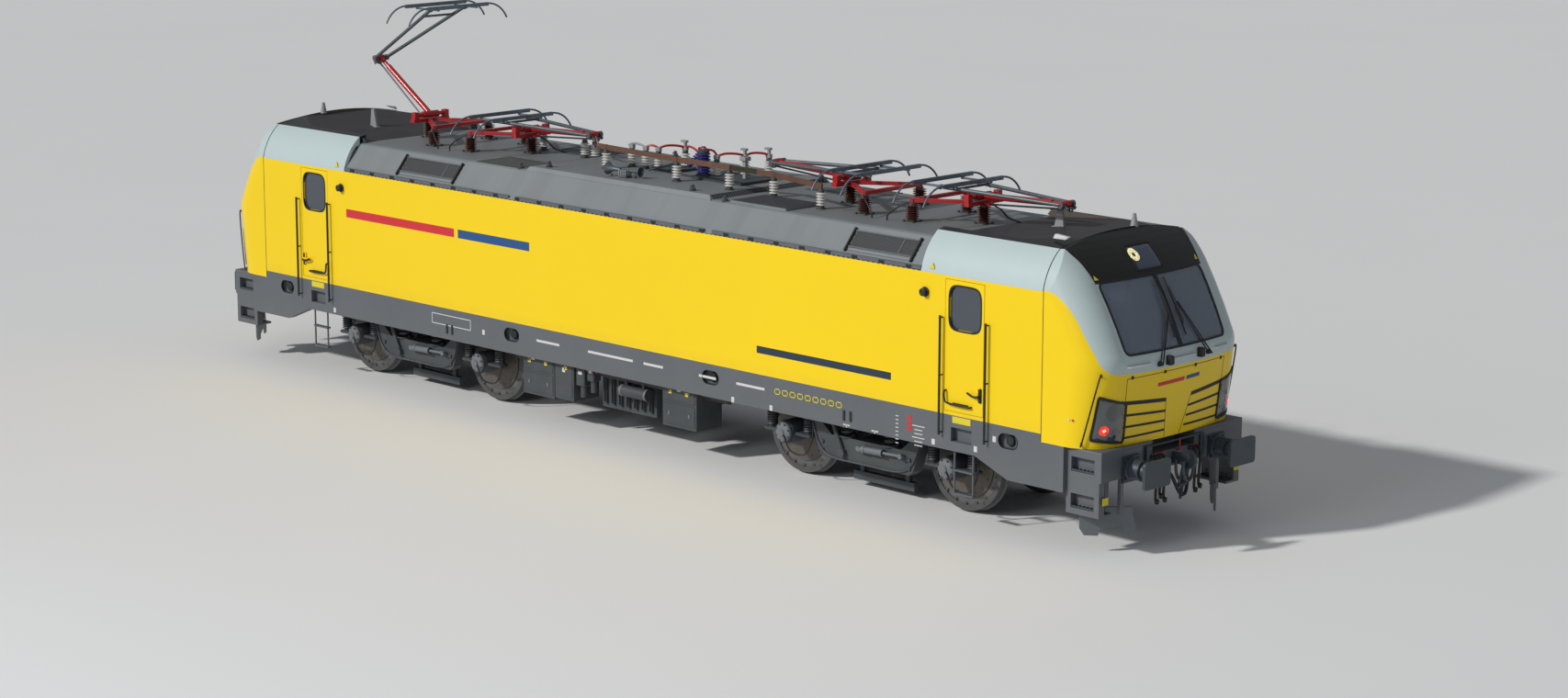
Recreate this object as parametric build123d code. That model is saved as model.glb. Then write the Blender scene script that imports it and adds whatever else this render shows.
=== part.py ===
from build123d import *
import math
import os

# A four-axle electric locomotive with two cabs, four pantographs and two bogies.
# +X points at the front cab, +Y at the left side and +Z up. The origin lies under the
# middle of the vehicle, at the lowest point of the wheel flanges. Sizes are in millimetres.

# Whole vehicle
length_over_buffers = 18980
body_width = 3012
flange_depth = 30
bogie_centres = 9500
bogie_wheelbase = 3000

# Heights, counted from the flanges
rail_top = flange_depth
sill_top = rail_top + 1453
deck_thickness = 120
sill_middle_bottom = rail_top + 980
sill_end_bottom = rail_top + 755
nose_foot = rail_top + 1348
wall_top = rail_top + 3274
roof_plane = rail_top + 3688
cab_roof_top = rail_top + 3905

# Lengths, counted from the middle
cab_seam = 8099
cab_roof_start = 6035
sill_end = 8480
nose_front = 9151
slant_inner = 6994
slant_outer = 7557
headstock_face = 9040

# Panels
wall = 60
sill_width = 126
ceiling_thickness = 45
glass = 12
seat_gap = 0.3
half_width = body_width / 2
deck_bottom = sill_top - deck_thickness

# Nose outline, seen from above
corner_start = 8560
corner_half_width = 1060
front_bow = 81
# Nose outline, seen from the side: distance behind nose_front and height
foot_setback = 119
brow_height = rail_top + 2455
brow_round = 90
screen_setback = 508
screen_bow = 18
cap_bow = 45
screen_top = rail_top + 3397
nose_roof_seam = rail_top + 3410
# Roof cove of the cab, half width and height
cove_half_width = 1192
cove_top = rail_top + 3783

# Cab roof trough, whose floor rises towards the front
trough_end = 8060
trough_half_width = 1060
trough_floor = rail_top + 3690
trough_front_floor = rail_top + 3870

# Machine room roof
chamfer_half_width = 1190
hood_rear = -2110
hood_front = 1790
hood_slope = 60
hood_foot_half = 1190
hood_top_half = 1152
hood_rise = 57
hatch_near = 2147
hatch_far = 3220
hatch_inner = 480
hatch_outer = 1150
hatch_rise = 32

# Windscreen opening, half widths and heights
screen_low = brow_height + 60
screen_high = screen_top - 12
screen_low_half = 1002
screen_high_half = 1030
screen_corner = 90
lamp_thickness = 12

# Pockets in the sills: jacking points and a foot hole under each door
jack_outer = 7560
jack_inner = 2110
jack_line = rail_top + 1262
jack_length = 320
jack_height = 190
foot_hole_near = 6586
foot_hole_far = 6942
foot_hole_low = rail_top + 1107
foot_hole_high = rail_top + 1294

# Cab doors
door_near = 6461
door_far = 7135
door_low = rail_top + 1500
door_high = rail_top + 3233
door_gap = 6
door_lock_gap = 10
window_near = 6540
window_far = 7065
window_low = rail_top + 2585
window_high = rail_top + 3150
window_corner = 110
hinge_stand = 15
hinge_pin = 6
hinge_barrel = 12
hinge_half_length = 30
hinge_heights = (rail_top + 1770, rail_top + 2970)
pin_clearance = 0.1
handle_height = rail_top + 1790

# Handrails beside the doors
rail_positions = (6420, 7201)
rail_low = rail_top + 1175
rail_high = rail_top + 2750
rail_radius = 16
rail_stand = 54

# Wheelsets
wheel_radius = 625
wheel_back_to_back = 1360
wheel_tyre_width = 135
flange_width = 32
axle_radius = 95
journal_radius = 90
journal_end = 1250
hub_radius = 150
wheel_web = 90
rim_depth = 75

# Bogies
frame_inner = 980
frame_outer = 1160
frame_end = 2120
frame_top = rail_top + 970
frame_arm_bottom = rail_top + 870
frame_middle_top = rail_top + 730
frame_middle_bottom = rail_top + 400
transom_half_length = 230
transom_bottom = rail_top + 470
pivot_radius = 75
spring_line = 1070
axle_spring_offset = 350
axle_spring_radius = 80
spring_arm_top = rail_top + 640
spring_arm_depth = 45
body_spring_offset = 400
body_spring_radius = 110
spring_pad_bottom = rail_top + 1120
spring_pad_radius = 150
slide_gap = 0.4
axle_box_inner = 930
axle_box_outer = 1290
axle_box_radius = 165
motor_offset = 560
motor_radius = 285
motor_half_width = 640
motor_height = rail_top + 670
gear_case_radius = 320
gear_case_bore = 115
magnet_line = 750
magnet_half_length = 560
magnet_bottom = rail_top + 70
magnet_top = rail_top + 190
damper_radius = 48
damper_line = 1225

# Headstocks, buffers and couplers
headstock_bottom = rail_top + 953
headstock_half_width = 1440
leg_bottom = rail_top + 496
leg_inner = 1330
buffer_line = 875
coupler_height = rail_top + 1060
buffer_plate_width = 520
buffer_plate_height = 350
buffer_plate_thickness = 40
buffer_plate_corner = 45
buffer_stem_radius = 95
buffer_flange = 330
hook_half_width = 28

# Gear under the floor
transformer_near = -531
transformer_far = 615
transformer_bottom = rail_top + 382
transformer_half_width = 1130
battery_inner = 880
battery_outer = 1375
battery_bottom = rail_top + 395
tank_radius = 85
tank_line = 1270
tank_height = rail_top + 730

# Pantographs: lengths of the arms and their height above level at rest
pivot_height = rail_top + 4060
lower_arm_length = 1440
upper_arm_length = 1890
lowered_angle = 2.0
raised_angle = 33.0
arm_ratio = 0.857
arm_neck = 0.84
rod_ratio = 1.0437
rod_lead = 1.6
rod_length = 1379.6
rod_anchor = (134.3, -100.0)
tail_length = 91.2
tail_angle = 34.1
outer_pivot = 5757
inner_pivot = 3361
single_foot_offset = 24
pair_foot_offset = -761
pair_foot_line = 549
base_tube = 50
base_top = -60
insulator_radius = 62
shed_radius = 98
shed_count = 7
head_strip_reach = 270
head_strip_half = 600
head_half_width = 975
head_strip_rise = 82
horn_drop = 260

# Posts of the roof line and of the switchgear, seen from above
post_height = 273
bar_height = 74
bar_thickness = 18
bar_seat = 6
bus_line = ((-1290, -486), (-1110, -500), (510, -620), (1598, -633), (2240, -395), (3420, -670))
switch_posts = ((-985, -102), (-679, -112), (-487, -39), (-276, 300), (689, 2), (932, 330), (1117, 633))
far_posts = ((-3483, 366), (-2421, 255), (-2200, 262))


def pushed(face, run):
    # Solid left by moving a flat face along a vector.
    return Solid.extrude(face.face(), run)


def block(x, y, z):
    # Box between pairs of limits.
    return Pos(sum(x) / 2, sum(y) / 2, sum(z) / 2) * Box(x[1] - x[0], y[1] - y[0], z[1] - z[0])


def bar(start, end, radius):
    # Round bar between two points.
    run = Vector(*end) - Vector(*start)
    placed = Plane(origin=start, z_dir=run)
    return placed * Cylinder(radius, run.length, align=(Align.CENTER, Align.CENTER, Align.MIN))


def cross_bar(x, z, half, radius):
    # Round bar along Y, centred on the middle plane.
    return bar((x, -half, z), (x, half, z), radius)


def beam(start, end, width, low, high):
    # Flat beam between two points seen from above.
    run = Vector(end[0] - start[0], end[1] - start[1])
    middle = ((start[0] + end[0]) / 2, (start[1] + end[1]) / 2, (low + high) / 2)
    turn = math.degrees(math.atan2(run.Y, run.X))
    return Pos(*middle) * Rot(0, 0, turn) * Box(run.length + width, width, high - low)


def slab(points, y):
    # Outline in X and Z, given its thickness between two limits along Y.
    face = make_face(Plane.XZ * Polyline(*points, close=True))
    return pushed(Pos(0, y[0], 0) * face, Vector(0, y[1] - y[0], 0))


def turned(shape):
    # The same shape at the other end of the vehicle.
    return Rot(0, 0, 180) * shape


def other_side(shape):
    return mirror(shape, about=Plane.XZ)


def both_sides(shape):
    return [shape, other_side(shape)]


def four_ways(shape):
    return both_sides(shape) + [turned(s) for s in both_sides(shape)]


def save(name, solids):
    group = solids if isinstance(solids, list) else [solids]
    flat = [s for g in group for s in g.solids()]
    export_step(flat[0] if len(flat) == 1 else Compound(flat), f"parts/{name}.step")


# Body shell

def plan_face(height, setback, inset):
    # Nose outline seen from above, moved back by the setback and shrunk by the inset.
    side = half_width - inset
    front = nose_front - setback - inset
    corner = corner_start - setback
    edge = front - front_bow
    back = cab_roof_start - 600
    lines = [
        Line((back, -side), (corner, -side)),
        EllipticalCenterArc((corner, -corner_half_width), edge - corner, side - corner_half_width, start_angle=270, arc_size=90),
        ThreePointArc((edge, -corner_half_width), (front, 0), (edge, corner_half_width)),
        EllipticalCenterArc((corner, corner_half_width), edge - corner, side - corner_half_width, start_angle=0, arc_size=90),
        Line((corner, side), (back, side)),
        Line((back, side), (back, -side)),
    ]
    return Pos(0, 0, height) * make_face(lines)


def cab_section(inset):
    # Cab cross-section: upright sides, a rounded cove and a crowned roof.
    side = half_width - inset
    cove = (cove_half_width - inset * 0.7, cove_top - inset * 0.7)
    shoulder = (side, wall_top + 13)
    bulge = (side - (side - cove[0]) * 0.36, shoulder[1] + (cove[1] - shoulder[1]) * 0.56)
    lines = [
        Line((-side, nose_foot - 100), (side, nose_foot - 100)),
        Line((side, nose_foot - 100), shoulder),
        ThreePointArc(shoulder, bulge, cove),
        ThreePointArc(cove, (0, cab_roof_top - inset), (-cove[0], cove[1])),
        ThreePointArc((-cove[0], cove[1]), (-bulge[0], bulge[1]), (-side, shoulder[1])),
        Line((-side, shoulder[1]), (-side, nose_foot - 100)),
    ]
    face = Plane.YZ * make_face(lines)
    return pushed(Pos(cab_roof_start - 500, 0, 0) * face, Vector(nose_front + 700 - cab_roof_start, 0, 0))


def bowed(start, end, bow, count):
    # Points after the start on a shallow parabola between two points, bulging to the left.
    run = (end[0] - start[0], end[1] - start[1])
    length = math.hypot(*run)
    points = []
    for step in range(1, count + 1):
        t = step / count
        lift = 4 * bow * t * (1 - t)
        points.append((start[0] + run[0] * t + run[1] / length * lift, start[1] + run[1] * t - run[0] / length * lift))
    return points


def side_profile():
    # Setback and height of the nose from its foot to the roof: upright front, rounded brow,
    # slightly bowed screen and a round cap.
    foot = (foot_setback, nose_foot)
    brow = (0, brow_height)
    top = (screen_setback, screen_top)
    roof = (nose_front - cab_seam, cab_roof_top - 10)
    below = (foot_setback * brow_round / (brow_height - nose_foot), brow_height - brow_round)
    above = (screen_setback * brow_round / (screen_top - brow_height), brow_height + brow_round)
    points = [foot, below]
    for t in (0.25, 0.5, 0.75, 1):
        points.append(tuple((1 - t) ** 2 * p + 2 * t * (1 - t) * q + t ** 2 * r for p, q, r in zip(below, brow, above)))
    points += bowed(above, top, -screen_bow, 3)
    points += bowed(top, roof, -cap_bow, 6)
    return points + [(roof[0] + 120, cab_roof_top + 40)]


def cab_envelope(inset):
    # Leaning prisms of the plan outline, one per stretch of the side profile.
    levels = side_profile()
    shape = None
    for (start, low), (end, high) in zip(levels, levels[1:]):
        prism = pushed(plan_face(low, start, inset), Vector(start - end, 0, high - low))
        shape = prism if shape is None else shape + prism
    return shape & cab_section(inset)


def screen_prism(shrink):
    # Rounded outline of the windscreen opening, drawn across the nose.
    low = screen_low + shrink
    high = screen_high - shrink
    low_half = screen_low_half - shrink
    high_half = screen_high_half - shrink
    points = [(-low_half, low), (low_half, low), (high_half, high), (-high_half, high)]
    face = make_face(Polyline(*points, close=True))
    face = fillet(face.vertices(), screen_corner)
    return pushed(Pos(cab_seam, 0, 0) * (Plane.YZ * face), Vector(nose_front + 50 - cab_seam, 0, 0))


outer_cab = cab_envelope(0)
inner_cab = cab_envelope(wall)
reach = (cab_seam, nose_front + 20)
wide = (-half_width - 20, half_width + 20)


def nose():
    shell = (outer_cab - inner_cab) & block(reach, wide, (nose_foot, nose_roof_seam))
    return shell - screen_prism(0)


def above_trough(drop):
    # Space over the rising trough floor, lowered by the drop.
    back, front = cab_roof_start - 5, trough_end
    rise = (trough_front_floor - trough_floor) / (trough_end - cab_roof_start)
    return [
        (back, trough_floor - drop - 5 * rise), (front, trough_front_floor - drop),
        (front, cab_roof_top + 60), (back, cab_roof_top + 60),
    ]


def cab_roof():
    # Rounded roof over the cab with an open trough behind its raised front.
    behind = block((cab_roof_start, cab_seam), wide, (wall_top, cab_roof_top + 20))
    ahead = block(reach, wide, (nose_roof_seam, cab_roof_top + 20))
    hollow = inner_cab - slab(above_trough(ceiling_thickness), wide)
    shell = (outer_cab & (behind + ahead)) - hollow
    return shell - slab(above_trough(0), (-trough_half_width, trough_half_width))


def windscreen():
    pane = cab_envelope(6) - cab_envelope(6 + glass)
    return pane & screen_prism(seat_gap)


def cab_bulkhead():
    plate = block((cab_roof_start + 60, cab_roof_start + 120), wide, (sill_top, trough_floor - ceiling_thickness))
    return inner_cab & plate


def machine_roof():
    # Sloped shoulders, a flat top, a raised hood in the middle and two louvred hatches.
    def section(inset):
        side = half_width - inset
        chamfer = chamfer_half_width - inset * 0.5
        points = [
            (-side, wall_top), (side, wall_top), (side, wall_top + 13), (chamfer, roof_plane - 18 - inset),
            (chamfer - 40, roof_plane - inset), (40 - chamfer, roof_plane - inset),
            (-chamfer, roof_plane - 18 - inset), (-side, wall_top + 13),
        ]
        face = Plane.YZ * make_face(Polyline(*points, close=True))
        return pushed(Pos(-cab_roof_start, 0, 0) * face, Vector(2 * cab_roof_start, 0, 0))

    shell = section(0) - section(wall)
    hood = slab(
        [(hood_rear, roof_plane - 30), (hood_rear, roof_plane), (hood_rear + hood_slope, roof_plane + hood_rise),
         (hood_front - hood_slope, roof_plane + hood_rise), (hood_front, roof_plane), (hood_front, roof_plane - 30)],
        (-hood_foot_half, hood_foot_half),
    )
    sides = [
        (-hood_foot_half, roof_plane - 30), (hood_foot_half, roof_plane - 30), (hood_foot_half, roof_plane),
        (hood_top_half, roof_plane + hood_rise), (-hood_top_half, roof_plane + hood_rise), (-hood_foot_half, roof_plane),
    ]
    face = Plane.YZ * make_face(Polyline(*sides, close=True))
    hood = hood & pushed(Pos(hood_rear, 0, 0) * face, Vector(hood_front - hood_rear, 0, 0))
    hatch = block((hatch_near, hatch_far), (-hatch_outer, -hatch_inner), (roof_plane - 20, roof_plane + hatch_rise))
    return shell + hood + hatch + turned(hatch)


def door_opening():
    return block((door_near, door_far), (-half_width - 10, -half_width + wall + 10), (door_low, door_high))


def hinge_fixings():
    # Pins and brackets that carry a cab door on the inside face of the right wall.
    face = -half_width + wall
    fixings = []
    for height in hinge_heights:
        fixings.append(bar(
            (door_near, face + hinge_stand, height - hinge_half_length - 20),
            (door_near, face + hinge_stand, height + hinge_half_length + 20), hinge_pin,
        ))
        for low in (height - hinge_half_length - 20, height + hinge_half_length + 2):
            fixings.append(block((door_near - 40, door_near + 8), (face, face + hinge_stand + 12), (low, low + 18)))
    return fixings


def right_wall():
    panel = block((-cab_seam, cab_seam), (-half_width, -half_width + wall), (sill_top, wall_top))
    front = [door_opening()]
    panel = panel - front[0] - mirror(front[0], about=Plane.YZ)
    for fixing in hinge_fixings():
        panel = panel + fixing + mirror(fixing, about=Plane.YZ)
    return panel


def window_prism(shrink):
    width = window_far - window_near - 2 * shrink
    height = window_high - window_low - 2 * shrink
    face = make_face(RectangleRounded(width, height, window_corner - shrink).wires()[0])
    middle = ((window_near + window_far) / 2, -half_width - 10, (window_low + window_high) / 2)
    return pushed(Pos(*middle) * (Plane.XZ * face), Vector(0, wall + 20, 0))


def cab_door():
    # Door of the front right corner, with hinge barrels inside and a lever outside.
    face = -half_width + wall
    door = block(
        (door_near + door_gap, door_far - door_lock_gap), (-half_width, face),
        (door_low + door_gap, door_high - door_gap),
    )
    door = door - window_prism(0)
    for height in hinge_heights:
        low, high = height - hinge_half_length, height + hinge_half_length
        axis = (door_near, face + hinge_stand)
        leaf = block((door_near, door_near + 80), (face, face + 9), (low, high))
        leaf = leaf - block((door_near - 5, door_near + 10), (face - 5, face + hinge_stand - hinge_barrel), (low, high))
        barrel = bar((*axis, low), (*axis, high), hinge_barrel)
        bore = bar((*axis, low - 5), (*axis, high + 5), hinge_pin + pin_clearance)
        door = door + leaf + barrel - bore
    grip = block((door_far - 95, door_far - 45), (-half_width - 20, -half_width), (handle_height - 90, handle_height + 90))
    lever = block((door_far - 210, door_far - 60), (-half_width - 45, -half_width - 20), (handle_height - 14, handle_height + 14))
    return door + grip + lever


def door_window():
    middle = -half_width + wall / 2
    return window_prism(seat_gap) & block(
        (window_near - 5, window_far + 5), (middle - glass / 2, middle + glass / 2), (window_low - 5, window_high + 5),
    )


def jacking_recess(x):
    # Oval pocket in the right sill.
    face = make_face(SlotOverall(jack_length, jack_height).wires()[0])
    return pushed(Pos(x, -half_width + 70, jack_line) * (Plane.XZ * face), Vector(0, -80, 0))


def underframe():
    # Deck, side sills with sloping ends, headstocks, steps, spring pads and bogie pivots.
    inside = half_width - wall
    deck = block((-cab_seam, cab_seam), (-inside, inside), (deck_bottom, sill_top))
    profile = [
        (cab_seam, nose_foot), (cab_seam, sill_top), (-cab_seam, sill_top), (-cab_seam, nose_foot),
        (-sill_end, nose_foot), (-sill_end, sill_end_bottom), (-slant_outer, sill_end_bottom),
        (-slant_inner, sill_middle_bottom), (slant_inner, sill_middle_bottom),
        (slant_outer, sill_end_bottom), (sill_end, sill_end_bottom), (sill_end, nose_foot),
    ]
    sill = slab(profile, (-half_width, -half_width + sill_width))
    for x in (-jack_outer, -jack_inner, jack_inner, jack_outer):
        sill = sill - jacking_recess(x)
    for side in (-1, 1):
        x = sorted((side * foot_hole_near, side * foot_hole_far))
        sill = sill - block(x, (-half_width - 5, -half_width + 90), (foot_hole_low, foot_hole_high))
    frame = deck + sill + other_side(sill)
    front = inner_cab & block(reach, wide, (nose_foot, sill_top))
    front = front + headstock()
    for side in (-1, 1):
        for offset in (-body_spring_offset, body_spring_offset):
            at = (bogie_centres / 2 + offset, side * spring_line)
            front = front + bar((*at, spring_pad_bottom), (*at, deck_bottom + 5), spring_pad_radius)
    at = (bogie_centres / 2, 0)
    front = front + bar((*at, transom_bottom + 20), (*at, deck_bottom + 5), pivot_radius)
    return frame + front + turned(front)


def headstock():
    # Buffer beam with a pocket for the coupler and a stepped leg at each corner.
    beam_block = block(
        (sill_end, headstock_face), (-headstock_half_width, headstock_half_width), (headstock_bottom, nose_foot),
    )
    pocket = block((headstock_face - 330, headstock_face + 10), (-430, 430), (coupler_height + 110, nose_foot + 10))
    beam_block = beam_block - pocket
    leg_length = (sill_end, headstock_face - 30)
    leg = block(leg_length, (-headstock_half_width, -leg_inner), (leg_bottom, headstock_bottom))
    floor = block(leg_length, (-leg_inner, -leg_inner + 160), (leg_bottom, leg_bottom + 30))
    leg = leg + floor
    step = (sill_end + 75, headstock_face - 110)
    for low in (leg_bottom + 75, headstock_bottom + 90):
        leg = leg - block(step, (-headstock_half_width - 5, -leg_inner - 12), (low, low + 190))
        beam_block = beam_block - block(step, (-headstock_half_width - 5, -leg_inner - 12), (low, low + 190))
    return beam_block + leg + other_side(leg) - other_side(block(
        step, (-headstock_half_width - 5, -leg_inner - 12), (headstock_bottom + 90, headstock_bottom + 280),
    ))


def buffer():
    at = (-buffer_line, coupler_height)
    flange = block(
        (headstock_face, headstock_face + 30), (at[0] - buffer_flange / 2, at[0] + buffer_flange / 2),
        (at[1] - buffer_flange / 2, at[1] + buffer_flange / 2),
    )
    tip = length_over_buffers / 2 - buffer_plate_thickness
    sleeve = bar((headstock_face + 30, *at), (headstock_face + 230, *at), buffer_stem_radius + 30)
    stem = bar((headstock_face + 230, *at), (tip, *at), buffer_stem_radius)
    face = make_face(RectangleRounded(buffer_plate_width, buffer_plate_height, buffer_plate_corner).wires()[0])
    plate = pushed(Pos(tip, *at) * (Plane.YZ * face), Vector(buffer_plate_thickness, 0, 0))
    return flange + sleeve + stem + plate


def coupling():
    # Draw hook with a hanging screw link.
    start = headstock_face
    z = coupler_height
    hook_points = [
        (start, z - 70), (start + 170, z - 70), (start + 235, z - 110), (start + 320, z - 95),
        (start + 375, z - 20), (start + 365, z + 60), (start + 320, z + 105), (start + 275, z + 85),
        (start + 300, z + 30), (start + 270, z - 15), (start + 225, z - 15), (start + 200, z + 35),
        (start + 140, z + 70), (start, z + 70),
    ]
    hook = slab(hook_points, (-hook_half_width, hook_half_width))
    pin_at = (start + 215, z - 60)
    link = cross_bar(pin_at[0], pin_at[1], 78, 20)
    for side in (-68, 68):
        link = link + bar((pin_at[0], side, pin_at[1]), (start + 150, side, z - 330), 16)
    link = link + cross_bar(start + 150, z - 330, 78, 26)
    link = link + bar((start + 150, 0, z - 330), (start + 130, 0, z - 520), 20)
    return hook + link


def rail_guard():
    # Slanting guard plate ahead of the wheels, notched over the rail.
    outline = [
        (0, 524), (0, 330), (60, 235), (240, 225), (260, 300), (420, 345), (560, 345),
        (600, 240), (700, 240), (720, 330), (660, 600), (300, 600), (290, 524),
    ]
    plate = slab(outline, (0, 25))
    plate = Pos(8640, -1360, 0) * Rot(0, 0, 48) * plate
    post = block((8800, 8880), (-1160, -1090), (500, headstock_bottom))
    inner = block((8960, headstock_face - 30), (-1010, -950), (500, headstock_bottom))
    return plate + post + inner


def transformer():
    x = (transformer_near, transformer_far)
    body = block(x, (-transformer_half_width, transformer_half_width), (transformer_bottom, deck_bottom))
    for step in range(7):
        at = transformer_near + 90 + step * 160
        rib = block((at, at + 30), (-transformer_half_width - 40, transformer_half_width + 40),
                    (transformer_bottom + 60, sill_middle_bottom - 60))
        body = body + rib
    return body


def battery_boxes():
    boxes = []
    for x in ((-2003, -1315), (1002, 1692)):
        for y in ((-battery_outer, -battery_inner), (battery_inner, battery_outer)):
            boxes.append(block(x, y, (battery_bottom, deck_bottom)))
    return boxes


def air_equipment():
    # Compressor cabinets and air reservoirs, hung from the deck.
    gear = []
    for side in (-1, 1):
        y = sorted((side * battery_outer, side * battery_inner))
        gear.append(block((-1300, -890), y, (battery_bottom + 30, deck_bottom)))
        tank = bar((23, side * tank_line, tank_height), (602, side * tank_line, tank_height), tank_radius)
        for x in (110, 470):
            y = (side * tank_line - 12, side * tank_line + 12)
            tank = tank + block((x, x + 45), y, (tank_height, deck_bottom))
        gear.append(tank)
    return gear


def entry_ladder():
    ladder = bar((6610, -1450, sill_middle_bottom), (6610, -1450, rail_top + 395), 14)
    ladder = ladder + bar((6930, -1450, sill_middle_bottom), (6930, -1450, rail_top + 395), 14)
    for height in (rail_top + 410, rail_top + 720):
        ladder = ladder + block((6600, 6940), (-1475, -1405), (height - 12, height + 12))
    return ladder


def handrail(x):
    y = -half_width - rail_stand
    rail = bar((x, y, rail_low), (x, y, rail_high), rail_radius)
    for height in (rail_low + 30, (rail_low + rail_high) / 2, rail_high - 30):
        rail = rail + bar((x, y, height), (x, -half_width, height), 10)
    return rail


def headlamps():
    # Lamp units that lie on the nose corners, and one lamp panel above the windscreen.
    skin = cab_envelope(-lamp_thickness) - outer_cab
    lamp = skin & block((8600, 9200), (-1375, -965), (rail_top + 1470, rail_top + 1965))
    panel = skin & block((8344, 8604), (-262, 262), (rail_top + 3440, rail_top + 3735))
    return both_sides(lamp) + [panel]


def driver_desk():
    outline = [
        (8300, sill_top), (8720, sill_top), (8860, sill_top + 850), (8860, sill_top + 960),
        (8260, sill_top + 860), (8260, sill_top + 800), (8420, sill_top + 760),
    ]
    return slab(outline, (-1100, 1100))


def driver_seat():
    x = 7560
    y = (-160, 400)
    seat = bar((x + 220, 120, sill_top), (x + 220, 120, sill_top + 430), 70)
    seat = seat + block((x, x + 500), y, (sill_top + 420, sill_top + 560))
    seat = seat + block((x - 60, x + 60), y, (sill_top + 500, sill_top + 1200))
    return seat


def equipment_block():
    return block((-5400, 5400), (-1050, 1050), (sill_top, wall_top - 120))


# Bogies, built about their own centre

def bogie_frame():
    side_outline = [
        (-frame_end, frame_arm_bottom), (-frame_end, frame_top), (-930, frame_top), (-640, frame_middle_top),
        (640, frame_middle_top), (930, frame_top), (frame_end, frame_top), (frame_end, frame_arm_bottom),
        (1020, frame_arm_bottom), (860, frame_middle_bottom + 60), (790, frame_middle_bottom),
        (-790, frame_middle_bottom), (-860, frame_middle_bottom + 60), (-1020, frame_arm_bottom),
    ]
    side = slab(side_outline, (-frame_outer, -frame_inner))
    transom = block(
        (-transom_half_length, transom_half_length), (-frame_inner - 20, frame_inner + 20),
        (transom_bottom, frame_middle_top),
    )
    frame = transom + side + other_side(side)
    magnet = magnet_brake()
    frame = frame + magnet + other_side(magnet)
    return frame - bar((0, 0, 0), (0, 0, 1200), pivot_radius + seat_gap)


def magnet_brake():
    # Track brake bar over the rail, on two hangers under the side frame.
    bar_block = block(
        (-magnet_half_length, magnet_half_length), (-magnet_line - 45, -magnet_line + 45), (magnet_bottom, magnet_top),
    )
    for x in (-420, 420):
        hanger = block((x - 35, x + 35), (-magnet_line - 30, -magnet_line + 30), (magnet_top - 5, frame_middle_bottom + 60))
        arm = block((x - 35, x + 35), (-frame_inner - 10, -magnet_line + 30),
                    (frame_middle_bottom + 10, frame_middle_bottom + 60))
        bar_block = bar_block + hanger + arm
    return bar_block


def axle_box(x):
    # Housing round the journal, with a spring on an arm at each side.
    centre = rail_top + wheel_radius
    arms = block(
        (x - axle_spring_offset - 95, x + axle_spring_offset + 95), (-spring_line - 85, -spring_line + 85),
        (spring_arm_top - spring_arm_depth, spring_arm_top),
    )
    housing = bar((x, -axle_box_outer, centre), (x, -axle_box_inner, centre), axle_box_radius)
    bore = bar((x, -journal_end - 2, centre), (x, -axle_box_inner + 5, centre), journal_radius + seat_gap)
    box = arms + housing - bore
    for offset in (-axle_spring_offset, axle_spring_offset):
        at = (x + offset, -spring_line)
        box = box + bar((*at, spring_arm_top - 5), (*at, frame_arm_bottom), axle_spring_radius)
    return box


def suspension():
    # Axle boxes with their springs, body springs and the long dampers outside the frame.
    pieces = []
    for axle in (-bogie_wheelbase / 2, bogie_wheelbase / 2):
        pieces += both_sides(axle_box(axle))
    for offset in (-body_spring_offset, body_spring_offset):
        at = (offset, -spring_line)
        pieces += both_sides(bar((*at, frame_middle_top), (*at, spring_pad_bottom - slide_gap), body_spring_radius))
    damper = bar((-60, -damper_line, rail_top + 640), (700, -damper_line, rail_top + 660), damper_radius)
    foot = block((60, 120), (-damper_line, -frame_outer), (rail_top + 600, rail_top + 680))
    pieces += both_sides(damper + foot)
    return pieces


def traction_motor(side):
    centre = side * bogie_wheelbase / 2
    x = centre - side * motor_offset
    motor = cross_bar(x, motor_height, motor_half_width, motor_radius)
    mount = block(sorted((side * transom_half_length, x)), (-420, 420), (transom_bottom + 60, frame_middle_top - 40))
    motor = motor + mount
    axle_height = rail_top + wheel_radius
    case = bar((centre, 440, axle_height), (centre, 600, axle_height), gear_case_radius)
    link = block(sorted((x, centre)), (440, 600), (axle_height - 230, axle_height + 230))
    motor = motor + case + link
    return motor - bar((centre, 400, axle_height), (centre, 660, axle_height), gear_case_bore)


def wheelset():
    # Two flanged wheels on one axle, turned about Y at wheel height.
    inner = wheel_back_to_back / 2
    outer = inner + wheel_tyre_width
    web = (inner + outer) / 2 - wheel_web / 2
    rim = wheel_radius - rim_depth
    half = [
        (0, 0), (axle_radius, 0), (axle_radius, inner - 25), (hub_radius, inner - 25), (hub_radius, web),
        (rim, web), (rim, inner), (wheel_radius + flange_depth - 8, inner),
        (wheel_radius + flange_depth, inner + 8), (wheel_radius + flange_depth, inner + flange_width - 14),
        (wheel_radius, inner + flange_width), (wheel_radius, outer), (rim, outer), (rim, web + wheel_web),
        (hub_radius, web + wheel_web), (hub_radius, outer + 30), (journal_radius, outer + 30),
        (journal_radius, journal_end), (0, journal_end),
    ]
    face = make_face(Polyline(*half, close=True))
    side = revolve(face, axis=Axis.Y, revolution_arc=360)
    whole = side + mirror(side, about=Plane.XZ)
    return Pos(0, 0, rail_top + wheel_radius) * whole


# Roof gear

def shed_insulator(x, y, low, high, core, shed, count):
    # Post with round sheds.
    post = bar((x, y, low), (x, y, high), core)
    pitch = (high - low - 40) / count
    for step in range(count):
        z = low + 20 + pitch * (step + 0.5)
        post = post + bar((x, y, z - pitch * 0.22), (x, y, z + pitch * 0.22), shed)
    return post


def place_pantograph(shape, pivot, knee_side):
    # Pantographs are drawn with the knee towards +X, from their main pivot.
    facing = shape if knee_side > 0 else turned(shape)
    return Pos(pivot, 0, pivot_height) * facing


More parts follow.
